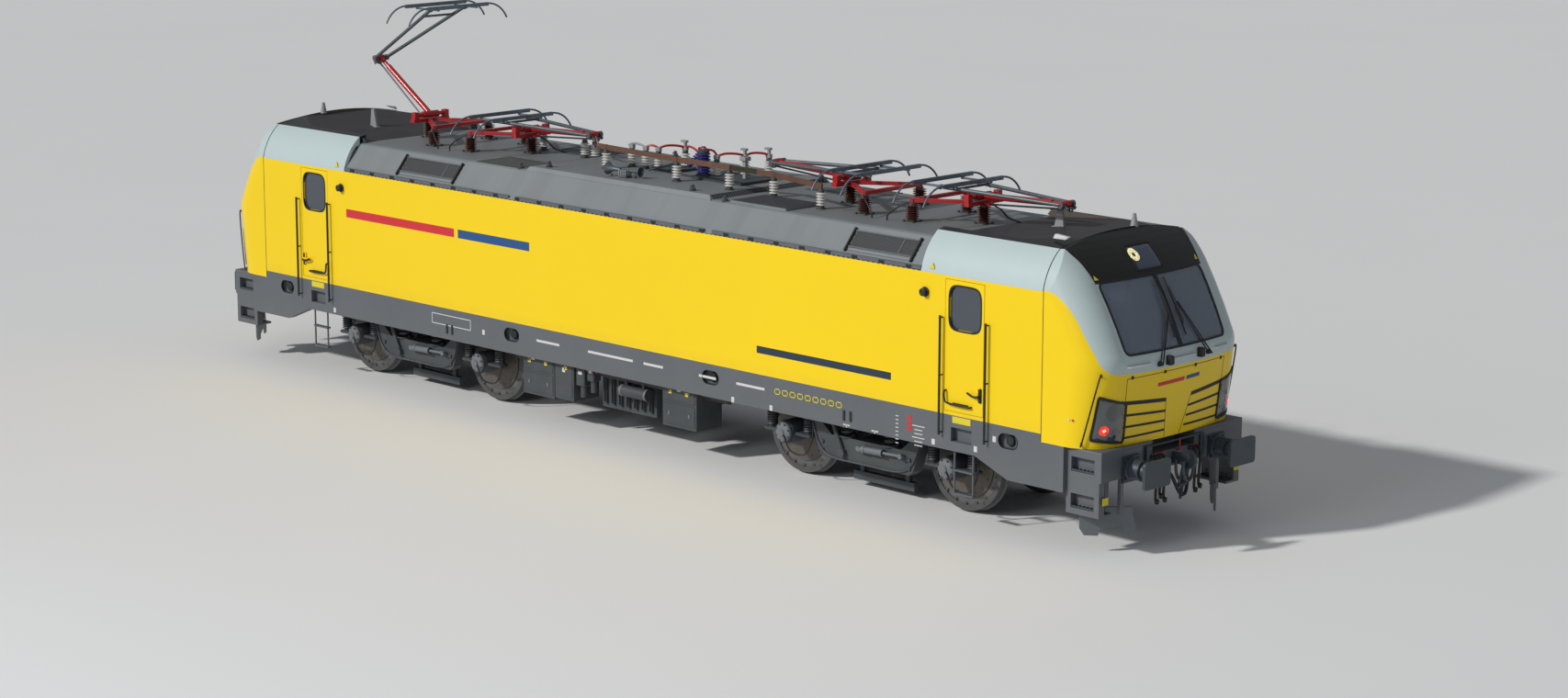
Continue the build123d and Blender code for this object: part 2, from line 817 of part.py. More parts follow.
def arm_points(angle):
    # Knee, head pivot and tail pin for one angle of the lower arm.
    lower = math.radians(angle)
    upper = math.radians(angle * arm_ratio)
    knee = (lower_arm_length * math.cos(lower), lower_arm_length * math.sin(lower))
    head = (knee[0] - upper_arm_length * math.cos(upper), knee[1] + upper_arm_length * math.sin(upper))
    swing = -upper - math.radians(tail_angle)
    tail = (knee[0] + tail_length * math.cos(swing), knee[1] + tail_length * math.sin(swing))
    return knee, head, tail


def pantograph_feet():
    posts = []
    low, high = roof_plane, pivot_height + base_top - base_tube
    places = [(single_foot_offset, 0), (pair_foot_offset, -pair_foot_line), (pair_foot_offset, pair_foot_line)]
    for x, y in places:
        posts.append(shed_insulator(x, y, low - pivot_height, high - pivot_height, insulator_radius, shed_radius, shed_count))
    return posts


def pantograph_base():
    # Triangular frame with the bearing blocks of the main shaft and the rod anchor.
    low, high = base_top - base_tube, base_top
    single = (single_foot_offset, 0)
    right = (pair_foot_offset, -pair_foot_line)
    left = (pair_foot_offset, pair_foot_line)
    base = beam(right, left, 60, low, high)
    base = base + beam(single, right, 60, low, high) + beam(single, left, 60, low, high)
    base = base + block((-40, 60), (-350, 350), (low, high))
    for side in (-1, 1):
        y = sorted((side * 262, side * 340))
        base = base + block((-45, 45), y, (low + 10, 48))
        y = sorted((side * 26, side * 40))
        base = base + block((30, rod_anchor[0] + 24), y, (low, low + 40))
        base = base + block((rod_anchor[0] - 24, rod_anchor[0] + 24), y, (rod_anchor[1] - 24, low + 40))
    base = base - cross_bar(0, 0, 360, 30 + seat_gap)
    return base + cross_bar(rod_anchor[0], rod_anchor[1], 40, 12)


def lower_arm(angle):
    knee, head, tail = arm_points(angle)
    arm = cross_bar(0, 0, 338, 30) + cross_bar(0, 0, 150, 52)
    neck = (knee[0] * arm_neck, 0, knee[1] * arm_neck)
    arm = arm + bar((0, 0, 0), neck, 44) + bar(neck, (knee[0], 0, knee[1]), 31)
    return arm + cross_bar(knee[0], knee[1], 46, 50) + cross_bar(knee[0], knee[1], 140, 20)


def upper_arm(angle):
    # Two spreading tubes with eyes at the knee, a tail pin and eyes for the head shaft.
    knee, head, tail = arm_points(angle)
    arm = cross_bar(tail[0], tail[1], 96, 10)
    share = 0.87
    brace = (knee[0] + (head[0] - knee[0]) * share, knee[1] + (head[1] - knee[1]) * share)
    arm = arm + cross_bar(brace[0], brace[1], 118 + (330 - 118) * share, 18)
    for side in (-1, 1):
        arm = arm + bar((knee[0], side * 94, knee[1]), (knee[0], side * 136, knee[1]), 46)
        arm = arm + bar((knee[0], side * 118, knee[1]), (head[0], side * 330, head[1]), 27)
        arm = arm + bar((head[0], side * 306, head[1]), (head[0], side * 354, head[1]), 34)
        link = Polyline((knee[0] - 20, knee[1] - 40), (knee[0] + 20, knee[1] + 40), (tail[0] + 22, tail[1] + 12),
                        (tail[0] - 10, tail[1] - 22), close=True)
        plate = pushed(Pos(0, side * 94, 0) * make_face(Plane.XZ * link), Vector(0, -side * 12, 0))
        arm = arm + plate + bar((knee[0], side * 82, knee[1]), (knee[0], side * 94, knee[1]), 46)
    arm = arm - cross_bar(knee[0], knee[1], 150, 20 + seat_gap)
    return arm - cross_bar(head[0], head[1], 360, 15 + seat_gap)


def pantograph_head(angle):
    # Two contact strips with down-turned horns, on a cross shaft.
    knee, head, tail = arm_points(angle)
    x, z = head
    top = z + head_strip_rise
    pan = cross_bar(x, z, 372, 15)
    for side in (-1, 1):
        y = sorted((side * 366, side * 396))
        pan = pan + block((x - head_strip_reach, x + head_strip_reach), y, (z + 2, z + 30))
        pan = pan + block((x - 22, x + 22), y, (z - 22, z + 20))
    for reach_x in (-head_strip_reach, head_strip_reach):
        strip = block((x + reach_x - 20, x + reach_x + 20), (-head_strip_half, head_strip_half), (z + 28, top))
        pan = pan + strip
        for side in (-1, 1):
            start = (x + reach_x, side * (head_strip_half - 5), top - 18)
            bend = (x + reach_x, side * (head_strip_half + 205), top - 75)
            end = (x + reach_x, side * head_half_width, top - horn_drop)
            path = ThreePointArc(start, bend, end)
            tip = Plane(origin=start, z_dir=path % 0) * Circle(14)
            pan = pan + sweep(tip, path=path)
    return pan


def guide_rod(angle):
    # Rod from the base to the tail of the upper arm, with a wide eye at its open end.
    lean = math.radians(angle * rod_ratio + rod_lead)
    start = rod_anchor
    end = (start[0] + rod_length * math.cos(lean), start[1] + rod_length * math.sin(lean))
    rod = bar((start[0], 0, start[1]), (end[0], 0, end[1]), 13)
    rod = rod + cross_bar(start[0], start[1], 22, 23) + cross_bar(end[0], end[1], 16, 33)
    return rod - cross_bar(start[0], start[1], 30, 12 + seat_gap) - cross_bar(end[0], end[1], 30, 22)


def roof_level(x):
    # Height of the roof under a post: the hood or the flat beside it.
    return roof_plane + (hood_rise if hood_rear < x < hood_front else 0)


def busbar_insulators():
    posts = []
    for x, y in bus_line[1:] + switch_posts + far_posts:
        low = roof_level(x)
        posts.append(shed_insulator(x, y, low, low + post_height, 42, 66, 5))
    return posts


def busbars():
    # One upright flat bar along the heads of the row of posts, following the drop off the hood.
    shape = None
    for start, end in zip(bus_line, bus_line[1:]):
        low = roof_level(start[0]) + post_height + bar_seat
        run = Vector(end[0] - start[0], end[1] - start[1], roof_level(end[0]) - roof_level(start[0]))
        turn = math.atan2(run.Y, run.X)
        across = Vector(-math.sin(turn), math.cos(turn), 0)
        corner = Vector(start[0], start[1], low) - across * (bar_thickness / 2)
        corners = [corner, corner + Vector(0, 0, bar_height), corner + run + Vector(0, 0, bar_height), corner + run]
        piece = pushed(make_face(Polyline(*corners, close=True)), across * bar_thickness)
        shape = piece if shape is None else shape + piece
    for x, y in bus_line[1:]:
        low = roof_level(x) + post_height
        shape = shape + bar((x, y, low), (x, y, low + bar_seat + bar_height), 24)
    return shape


def main_switch():
    # Plinths, a thick upright insulator and the arms of the switchgear.
    top = roof_plane + hood_rise
    head = top + post_height
    gear = [block((-600, -60), (-90, 380), (top, top + 40)) - bar((-487, -39, top), (-487, -39, top + 50), 70)]
    stand = block((445, 1470), (-280, 400), (top, top + 42))
    for x, y in ((689, 2), (932, 330)):
        stand = stand - bar((x, y, top - 10), (x, y, top + 60), 66)
    thick = bar((575, -155, top + 20), (575, -155, top + 380), 96)
    post = block((1180, 1240), (30, 90), (top, head + 90))
    gear[0] = gear[0] - bar((-276, 300, top), (-276, 300, top + 60), 70)
    gear.append(stand + thick + post + block((525, 625), (-205, -105), (top + 375, top + 430)))
    for start, end in zip(switch_posts, switch_posts[1:]):
        lift = head + 22
        arm = bar((*start, lift), (*end, lift), 12)
        for x, y in (start, end):
            arm = arm + bar((x, y, head), (x, y, lift + 40), 24)
        gear.append(arm)
    joined = gear[2]
    for arm in gear[3:]:
        joined = joined + arm
    return [gear[0], gear[1], joined]


def horns():
    # Two trumpets back to back on one bracket.
    top = roof_plane + hood_rise
    bracket = block((-345, -190), (-960, -840), (top, top + 100))
    rear = Pos(-450, -930, top + 105) * Rot(0, -90, 0) * Cone(24, 94, 260)
    front = Pos(-120, -870, top + 95) * Rot(0, 90, 0) * Cone(22, 72, 220)
    return bracket + rear + front


def pantographs():
    # Name, pivot position, side of the knee and rest angle.
    return [
        ("rear_outer_pantograph", -outer_pivot, -1, raised_angle),
        ("rear_inner_pantograph", -inner_pivot, 1, lowered_angle),
        ("front_inner_pantograph", inner_pivot, -1, lowered_angle),
        ("front_outer_pantograph", outer_pivot, 1, lowered_angle),
    ]


def save_body():
    save("underframe", underframe())
    wall_panel = right_wall()
    save("right_side_wall", wall_panel)
    save("left_side_wall", turned(wall_panel))
    for name, piece in (("cab_noses", nose()), ("cab_roofs", cab_roof()), ("windscreens", windscreen()), ("cab_bulkheads", cab_bulkhead()),
                        ("driver_desks", driver_desk()), ("driver_seats", driver_seat()),
                        ("screw_couplings", coupling())):
        save(name, [piece, turned(piece)])
    save("machine_room_roof", machine_roof())
    save("equipment_block", equipment_block())
    for name, piece in (("buffers", buffer()), ("rail_guards", rail_guard()), ("entry_ladders", entry_ladder())):
        save(name, four_ways(piece))
    save("handrails", [rail for x in rail_positions for rail in four_ways(handrail(x))])
    lamps = headlamps()
    save("headlamps", lamps + [turned(lamp) for lamp in lamps])
    save("transformer", transformer())
    save("battery_boxes", battery_boxes())
    save("air_equipment", air_equipment())
    door, pane = cab_door(), door_window()
    for name, place in (("front_right", lambda s: s), ("front_left", other_side), ("rear_left", turned),
                        ("rear_right", lambda s: turned(other_side(s)))):
        save(f"{name}_door", place(door))
        save(f"{name}_door_window", place(pane))


def save_bogies():
    pieces = {
        "bogie_frame": [bogie_frame()],
        "bogie_suspension": suspension(),
        "bogie_motors": [traction_motor(1), traction_motor(-1)],
    }
    axle = wheelset()
    for end, centre in (("front", bogie_centres / 2), ("rear", -bogie_centres / 2)):
        for name, solids in pieces.items():
            save(f"{end}_{name}", [Pos(centre, 0, 0) * solid for solid in solids])
        outward = 1 if end == "front" else -1
        for place, side in (("outer", outward), ("inner", -outward)):
            save(f"{end}_{place}_wheelset", Pos(centre + side * bogie_wheelbase / 2, 0, 0) * axle)


def save_roof_gear():
    feet = []
    bases = []
    for name, pivot, side, angle in pantographs():
        feet += [place_pantograph(foot, pivot, side) for foot in pantograph_feet()]
        bases.append(place_pantograph(pantograph_base(), pivot, side))
        for part, shape in (("lower_arm", lower_arm(angle)), ("upper_arm", upper_arm(angle)),
                            ("head", pantograph_head(angle)), ("guide_rod", guide_rod(angle))):
            save(f"{name}_{part}", place_pantograph(shape, pivot, side))
    save("pantograph_insulators", feet)
    save("pantograph_bases", bases)
    save("busbar_insulators", busbar_insulators())
    save("busbars", busbars())
    save("main_switch", main_switch())
    save("horns", horns())


os.makedirs("parts", exist_ok=True)
save_body()
save_bogies()
save_roof_gear()
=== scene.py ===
# Looks of a four-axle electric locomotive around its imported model.
# Metres; +X points at the front cab, +Y at the left side, +Z up.
import math

import bpy
import numpy as np
from mathutils import Matrix


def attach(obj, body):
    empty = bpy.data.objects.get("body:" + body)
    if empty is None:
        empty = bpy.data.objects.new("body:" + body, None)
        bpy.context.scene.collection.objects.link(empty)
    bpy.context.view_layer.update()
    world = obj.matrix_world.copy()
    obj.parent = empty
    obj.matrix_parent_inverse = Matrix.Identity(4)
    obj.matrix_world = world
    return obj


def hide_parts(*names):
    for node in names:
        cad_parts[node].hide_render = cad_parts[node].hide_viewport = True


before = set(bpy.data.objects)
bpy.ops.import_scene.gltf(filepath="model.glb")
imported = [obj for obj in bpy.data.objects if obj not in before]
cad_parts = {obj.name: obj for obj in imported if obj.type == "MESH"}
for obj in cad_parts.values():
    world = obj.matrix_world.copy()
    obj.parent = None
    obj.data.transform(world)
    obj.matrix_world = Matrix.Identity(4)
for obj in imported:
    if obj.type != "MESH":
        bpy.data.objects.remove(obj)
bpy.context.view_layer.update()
rail = 0.03  # rail top above the lowest point of the flanges


# ---------- surfaces: every shape is (points, faces) worked out as whole arrays

def gridFaces(rows, cols, closeRows=False, closeCols=False):
    # Quads between neighbours of a rows by cols grid of points.
    i = np.arange(rows if closeRows else rows - 1)
    j = np.arange(cols if closeCols else cols - 1)
    i, j = np.meshgrid(i, j, indexing="ij")
    a = i * cols + j
    b = i * cols + (j + 1) % cols
    c = ((i + 1) % rows) * cols + (j + 1) % cols
    d = ((i + 1) % rows) * cols + j
    return np.stack([a, b, c, d], -1).reshape(-1, 4).tolist()


def tube(path, radius, sides=10, squash=1.0):
    # A circle of the radius carried along the path, square to it, with flat caps.
    path = np.asarray(path, float)
    run = np.gradient(path, axis=0)
    run /= np.linalg.norm(run, axis=1)[:, None] + 1e-12
    guide = np.array([0.0, 0, 1]) if np.abs(run[:, 2]).max() < 0.95 else np.array([0.31, 0.95, 0.05])
    if np.abs(run[:, 2]).max() >= 0.95 and np.abs(run @ guide).max() > 0.97:
        guide = np.array([0.95, -0.31, 0.05])
    side = np.cross(run, guide)
    side /= np.linalg.norm(side, axis=1)[:, None] + 1e-12
    up = np.cross(side, run)
    turn = np.linspace(0, 2 * np.pi, sides, endpoint=False)
    ring = np.cos(turn)[None, :, None] * side[:, None] + np.sin(turn)[None, :, None] * up[:, None] * squash
    radius = np.broadcast_to(np.asarray(radius, float), (len(path),))
    points = path[:, None] + ring * radius[:, None, None]
    faces = gridFaces(len(path), sides, False, True)
    last = (len(path) - 1) * sides
    faces.append(list(range(sides)))
    faces.append([last + k for k in range(sides)][::-1])
    return points.reshape(-1, 3), [f[::-1] for f in faces]


def rod(start, end, radius, sides=12):
    # A straight tube between two points.
    return tube(np.linspace(start, end, 2), radius, sides)


def smooth(points, steps=8):
    # Catmull-Rom curve through the points.
    p = np.asarray(points, float)
    p = np.vstack([2 * p[0] - p[1], p, 2 * p[-1] - p[-2]])
    t = np.linspace(0, 1, steps, endpoint=False)[:, None]
    spans = []
    for a, b, c, d in zip(p, p[1:], p[2:], p[3:]):
        square, cube = 2 * a - 5 * b + 4 * c - d, 3 * b - a - 3 * c + d
        spans.append(0.5 * (2 * b + (c - a) * t + square * t ** 2 + cube * t ** 3))
    return np.vstack(spans + [p[-2][None]])


def lathe(profile, foot, axis=(0, 0, 1), sides=24):
    # The profile's (radius, height) pairs turned about an axis through the foot.
    axis = np.asarray(axis, float)
    axis = axis / np.linalg.norm(axis)
    side = np.cross(axis, [0, 0, 1] if abs(axis[2]) < 0.9 else [1, 0, 0])
    side /= np.linalg.norm(side)
    up = np.cross(axis, side)
    turn = np.linspace(0, 2 * np.pi, sides, endpoint=False)
    ring = np.cos(turn)[:, None] * side + np.sin(turn)[:, None] * up
    profile = np.asarray(profile, float)
    points = np.asarray(foot, float) + profile[:, 0, None, None] * ring + profile[:, 1, None, None] * axis
    faces = gridFaces(len(profile), sides, False, True)
    last = (len(profile) - 1) * sides
    if profile[0, 0] > 1e-6:
        faces.append(list(range(sides))[::-1])
    if profile[-1, 0] > 1e-6:
        faces.append([last + k for k in range(sides)])
    return points.reshape(-1, 3), faces


def box(low, high, bevel=0.0):
    # A box between two corners, its upright and level edges cut back by the bevel.
    low, high = np.asarray(low, float), np.asarray(high, float)
    if bevel <= 0:
        x, y, z = [(a, b) for a, b in zip(low, high)]
        points = np.array([(p, q, r) for r in z for q in y for p in x])
        return points, [[0, 2, 3, 1], [4, 5, 7, 6], [0, 1, 5, 4], [2, 6, 7, 3], [0, 4, 6, 2], [1, 3, 7, 5]]
    b = min(bevel, (high - low).min() * 0.45)
    x0, y0, z0 = low
    x1, y1, z1 = high
    rim = np.array(
        [
            (x0 + b, y0), (x1 - b, y0), (x1, y0 + b), (x1, y1 - b), (x1 - b, y1), (x0 + b, y1),
            (x0, y1 - b), (x0, y0 + b)
        ]
    )
    middle = (low[:2] + high[:2]) / 2
    shrink = middle + (rim - middle) * (1 - 2 * b / np.maximum(high[:2] - low[:2], 1e-6))
    levels = [(shrink, z0), (rim, z0 + b), (rim, z1 - b), (shrink, z1)]
    points = np.vstack([np.c_[r, np.full(8, z)] for r, z in levels])
    faces = gridFaces(4, 8, False, True)
    faces.append(list(range(8))[::-1])
    faces.append([24 + k for k in range(8)])
    return points, faces


def sideBox(side, low, high, bevel=0.0):
    # A box given for the left side, put on the right one when side is -1.
    y = sorted((side * low[1], side * high[1]))
    return box((low[0], y[0], low[2]), (high[0], y[1], high[2]), bevel)


def prism(outline, offset):
    # A flat outline of 3D points pushed along the offset, with both ends closed.
    outline = np.asarray(outline, float)
    count = len(outline)
    normal = np.zeros(3)
    for a, b in zip(outline, np.roll(outline, -1, 0)):
        normal += np.cross(a, b)
    if normal @ np.asarray(offset, float) < 0:
        outline = outline[::-1]
    points = np.vstack([outline, outline + np.asarray(offset, float)])
    faces = gridFaces(2, count, False, True)
    faces.append(list(range(count))[::-1])
    faces.append([count + k for k in range(count)])
    return points, faces


def helix(foot, radius, wire, height, turns, sides=7, steps=14):
    # A wire wound about an upright line at an even pitch, its two ends capped.
    t = np.linspace(0, 1, int(turns * steps) + 1)
    angle = t * turns * 2 * np.pi
    path = np.c_[
        foot[0] + radius * np.cos(angle), foot[1] + radius * np.sin(angle),
        foot[2] + wire + t * (height - 2 * wire)
    ]
    return tube(path, wire, sides)


def joined(shapes):
    # Several shapes as one.
    points, faces, start = [], [], 0
    for p, f in shapes:
        points.append(np.asarray(p, float))
        faces += [[start + k for k in face] for face in f]
        start += len(p)
    return np.vstack(points), faces


def turned(shape):
    # The shape at the other end, half a turn about Z.
    points, faces = shape
    return points * [-1, -1, 1], faces


def mirrored(shape, axis=1):
    # The shape reflected in a plane through the middle, its faces kept outwards.
    points, faces = shape
    flip = np.ones(3)
    flip[axis] = -1
    return points * flip, [f[::-1] for f in faces]


def bothSides(shape):
    return joined([shape, mirrored(shape)])


def bothEnds(shape):
    return joined([shape, turned(shape)])


def fourWays(shape):
    return bothEnds(bothSides(shape))


def addPiece(name, shape, look, body="carbody", replaces=(), sharp=35):
    # Puts a shape in the scene as a finished piece that rides on a body.
    points, faces = shape
    mesh = bpy.data.meshes.new(name)
    mesh.from_pydata(np.asarray(points).tolist(), [], faces)
    mesh.update()
    mesh.materials.append(looks[look])
    mesh.shade_smooth()
    mesh.set_sharp_from_angle(angle=math.radians(sharp))
    piece = bpy.data.objects.new(name, mesh)
    bpy.context.scene.collection.objects.link(piece)
    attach(piece, body)
    if replaces:
        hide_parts(*replaces)


# ---------- materials

class Nodes:
    # Short names for the nodes that a material uses.
    def __init__(self, name):
        self.material = bpy.data.materials.new(name)
        self.material.use_nodes = True
        self.tree = self.material.node_tree
        self.shader = self.tree.nodes["Principled BSDF"]
        coords = self.tree.nodes.new("ShaderNodeTexCoord")
        self.place = coords.outputs["Object"]
        split = self.tree.nodes.new("ShaderNodeSeparateXYZ")
        self.tree.links.new(self.place, split.inputs[0])
        self.x, self.y, self.z = split.outputs

    def link(self, source, target):
        if hasattr(source, "links"):
            self.tree.links.new(source, target)
        else:
            target.default_value = source

    def math(self, kind, a, b=0.0, c=0.0):
        node = self.tree.nodes.new("ShaderNodeMath")
        node.operation = kind
        for value, socket in zip((a, b, c), node.inputs):
            self.link(value, socket)
        return node.outputs[0]

    def step(self, value, edge, soft=0.0015):
        # 0 below the edge and 1 above it, over a narrow band.
        low = self.math("SUBTRACT", value, edge)
        return self.clamp(self.math("MULTIPLY_ADD", low, 0.5 / soft, 0.5))

    def clamp(self, value):
        node = self.tree.nodes.new("ShaderNodeClamp")
        self.link(value, node.inputs[0])
        return node.outputs[0]

    def inside(self, value, low, high, soft=0.0015):
        return self.math(
            "MULTIPLY", self.step(value, low, soft),
            self.math("SUBTRACT", 1.0, self.step(value, high, soft))
        )

    def both(self, *masks):
        result = masks[0]
        for mask in masks[1:]:
            result = self.math("MULTIPLY", result, mask)
        return result

    def mix(self, mask, first, second):
        node = self.tree.nodes.new("ShaderNodeMix")
        node.data_type = "RGBA"
        self.link(mask, node.inputs[0])
        for value, socket in ((first, node.inputs[6]), (second, node.inputs[7])):
            self.link((*value, 1) if isinstance(value, tuple) else value, socket)
        return node.outputs[2]

    def noise(self, scale, detail=3.0, stretch=(1, 1, 1), rough=0.55):
        place = self.place
        if stretch != (1, 1, 1):
            mapping = self.tree.nodes.new("ShaderNodeMapping")
            mapping.inputs["Scale"].default_value = stretch
            self.tree.links.new(self.place, mapping.inputs[0])
            place = mapping.outputs[0]
        node = self.tree.nodes.new("ShaderNodeTexNoise")
        node.inputs["Scale"].default_value = scale
        node.inputs["Detail"].default_value = detail
        node.inputs["Roughness"].default_value = rough
        self.tree.links.new(place, node.inputs["Vector"])
        return node.outputs["Fac"]

    def curve(self, value, points, low, high, bottom, top):
        # Value between low and high read off a line through the points, given back between bottom and top.
        reach = self.tree.nodes.new("ShaderNodeMapRange")
        self.link(value, reach.inputs[0])
        reach.inputs[1].default_value = low
        reach.inputs[2].default_value = high
        node = self.tree.nodes.new("ShaderNodeFloatCurve")
        self.tree.links.new(reach.outputs[0], node.inputs["Value"])
        line = node.mapping.curves[0]
        scaled = [((p - low) / (high - low), (q - bottom) / (top - bottom)) for p, q in points]
        line.points[0].location = scaled[0]
        line.points[1].location = scaled[-1]
        for place in scaled[1:-1]:
            line.points.new(*place)
        for point in line.points:
            point.handle_type = "AUTO"
        node.mapping.update()
        return self.math("MULTIPLY_ADD", node.outputs[0], top - bottom, bottom)

    def finish(self, colour, rough=0.4, metal=0.0, bump=None, depth=0.002, coat=0.0, specular=0.5):
        shader = self.shader
        self.link((*colour, 1) if isinstance(colour, tuple) else colour, shader.inputs["Base Color"])
        self.link(rough, shader.inputs["Roughness"])
        shader.inputs["Metallic"].default_value = metal
        shader.inputs["Coat Weight"].default_value = coat
        shader.inputs["Coat Roughness"].default_value = 0.12
        shader.inputs["Specular IOR Level"].default_value = specular
        if bump is not None:
            node = self.tree.nodes.new("ShaderNodeBump")
            node.inputs["Distance"].default_value = depth
            node.inputs["Strength"].default_value = 0.5
            self.tree.links.new(bump, node.inputs["Height"])
            self.tree.links.new(node.outputs[0], shader.inputs["Normal"])
        return self.material


def plainFinish(name, settings):
    # A paint, metal or rubber with cloudy tone, fine grain and settled dust in patches.
    kit = Nodes(name)
    tone = kit.noise(settings.get("cloud", 1.3), 4)
    grain = kit.noise(settings.get("grain", 60), 3)
    dark = tuple(c * settings.get("shade", 0.8) for c in settings["colour"])
    colour = kit.mix(tone, dark, settings["colour"])
    dust = settings.get("dust")
    if dust:
        worn = kit.clamp(kit.math("MULTIPLY_ADD", kit.math("ADD", grain, tone), 1.6, -1.25))
        colour = kit.mix(kit.math("MULTIPLY", worn, settings.get("dustShare", 0.35)), colour, dust)
    rough = kit.math("MULTIPLY_ADD", grain, 0.18, settings.get("rough", 0.45) - 0.09)
    return kit.finish(
        colour, rough, settings.get("metal", 0.0), grain, settings.get("depth", 0.0006),
        settings.get("coat", 0.0)
    )


finishes = {
    "sillPaint": dict(
        colour=(0.098, 0.112, 0.128), rough=0.5, dust=(0.15, 0.14, 0.13), dustShare=0.25, shade=0.86
    ),
    "gearPaint": dict(
        colour=(0.046, 0.058, 0.070), rough=0.6, dust=(0.10, 0.092, 0.08), dustShare=0.4, shade=0.7,
        cloud=2.5, depth=0.0015
    ),
    "lightGear": dict(
        colour=(0.16, 0.18, 0.20), rough=0.5, dust=(0.12, 0.11, 0.1), dustShare=0.4, shade=0.75, cloud=4
    ),
    "springSteel": dict(
        colour=(0.045, 0.052, 0.062), rough=0.5, dust=(0.11, 0.1, 0.09), dustShare=0.3, shade=0.7, cloud=6
    ),
    "bufferSteel": dict(
        colour=(0.052, 0.072, 0.092), rough=0.42, metal=0.3, dust=(0.12, 0.11, 0.1), dustShare=0.15,
        shade=0.8, cloud=5
    ),
    "blackRubber": dict(colour=(0.012, 0.013, 0.014), rough=0.6, shade=0.7, cloud=6),
    "blackPaint": dict(colour=(0.016, 0.017, 0.018), rough=0.4, shade=0.8, cloud=3),
    "silverTube": dict(colour=(0.72, 0.74, 0.75), rough=0.3, metal=0.5, shade=0.85, cloud=9),
    "redPaint": dict(
        colour=(0.52, 0.008, 0.012), rough=0.38, dust=(0.12, 0.03, 0.03), dustShare=0.35, shade=0.72,
        cloud=4, coat=0.2
    ),
    "armMetal": dict(
        colour=(0.105, 0.13, 0.15), rough=0.42, metal=0.35, dust=(0.25, 0.26, 0.25), dustShare=0.3,
        shade=0.7, cloud=6
    ),
    "stripMetal": dict(
        colour=(0.13, 0.18, 0.23), rough=0.45, metal=0.3, dust=(0.34, 0.36, 0.36), dustShare=0.35,
        shade=0.6, cloud=12
    ),
    "brownPorcelain": dict(
        colour=(0.085, 0.026, 0.018), rough=0.22, dust=(0.2, 0.12, 0.1), dustShare=0.25, shade=0.6, cloud=7,
        coat=0.5
    ),
    "whitePorcelain": dict(
        colour=(0.72, 0.71, 0.66), rough=0.25, dust=(0.32, 0.30, 0.26), dustShare=0.4, shade=0.85, cloud=7,
        coat=0.4
    ),
    "bluePorcelain": dict(
        colour=(0.035, 0.03, 0.20), rough=0.3, dust=(0.1, 0.1, 0.2), dustShare=0.3, shade=0.6, cloud=7,
        coat=0.4
    ),
    "steelCap": dict(
        colour=(0.10, 0.11, 0.115), rough=0.45, metal=0.5, dust=(0.16, 0.15, 0.13), dustShare=0.4,
        shade=0.7, cloud=9
    ),
    "cabTrim": dict(colour=(0.50, 0.54, 0.62), rough=0.6, shade=0.85, cloud=3),
    "seatCloth": dict(colour=(0.03, 0.035, 0.05), rough=0.85, shade=0.7, cloud=5, grain=220),
    "labelWhite": dict(colour=(0.62, 0.63, 0.62), rough=0.5, shade=0.85, cloud=9),
    "labelYellow": dict(colour=(0.72, 0.60, 0.02), rough=0.5, shade=0.85, cloud=9),
    "labelRed": dict(colour=(0.60, 0.02, 0.03), rough=0.45, shade=0.85, cloud=9),
    "labelBlue": dict(colour=(0.01, 0.075, 0.24), rough=0.45, shade=0.85, cloud=9),
    "labelNavy": dict(colour=(0.012, 0.03, 0.055), rough=0.45, shade=0.85, cloud=9),
    "aerialGrey": dict(colour=(0.30, 0.31, 0.32), rough=0.5, shade=0.85, cloud=5),
    "hatchGrey": dict(colour=(0.085, 0.095, 0.085), rough=0.65, shade=0.8, cloud=5),
}
looks = {name: plainFinish(name, settings) for name, settings in finishes.items()}
print("materials: plain finishes ready")

yellow = (0.86, 0.605, 0.004)
silver = (0.47, 0.565, 0.575)
capBlack = (0.014, 0.014, 0.0125)
sweep = [
    (8.099, 3.317), (8.144, 3.321), (8.264, 3.292), (8.379, 3.221), (8.483, 3.122), (8.590, 2.986),
    (8.690, 2.831), (8.777, 2.693), (8.859, 2.573), (8.931, 2.449), (9.008, 2.351), (9.06, 2.316),
    (9.20, 2.325),
]
capEdge = [
    (8.0, 1.190), (8.14, 1.187), (8.259, 1.162), (8.354, 1.126), (8.457, 1.097), (8.561, 1.070),
    (8.70, 1.05)
]


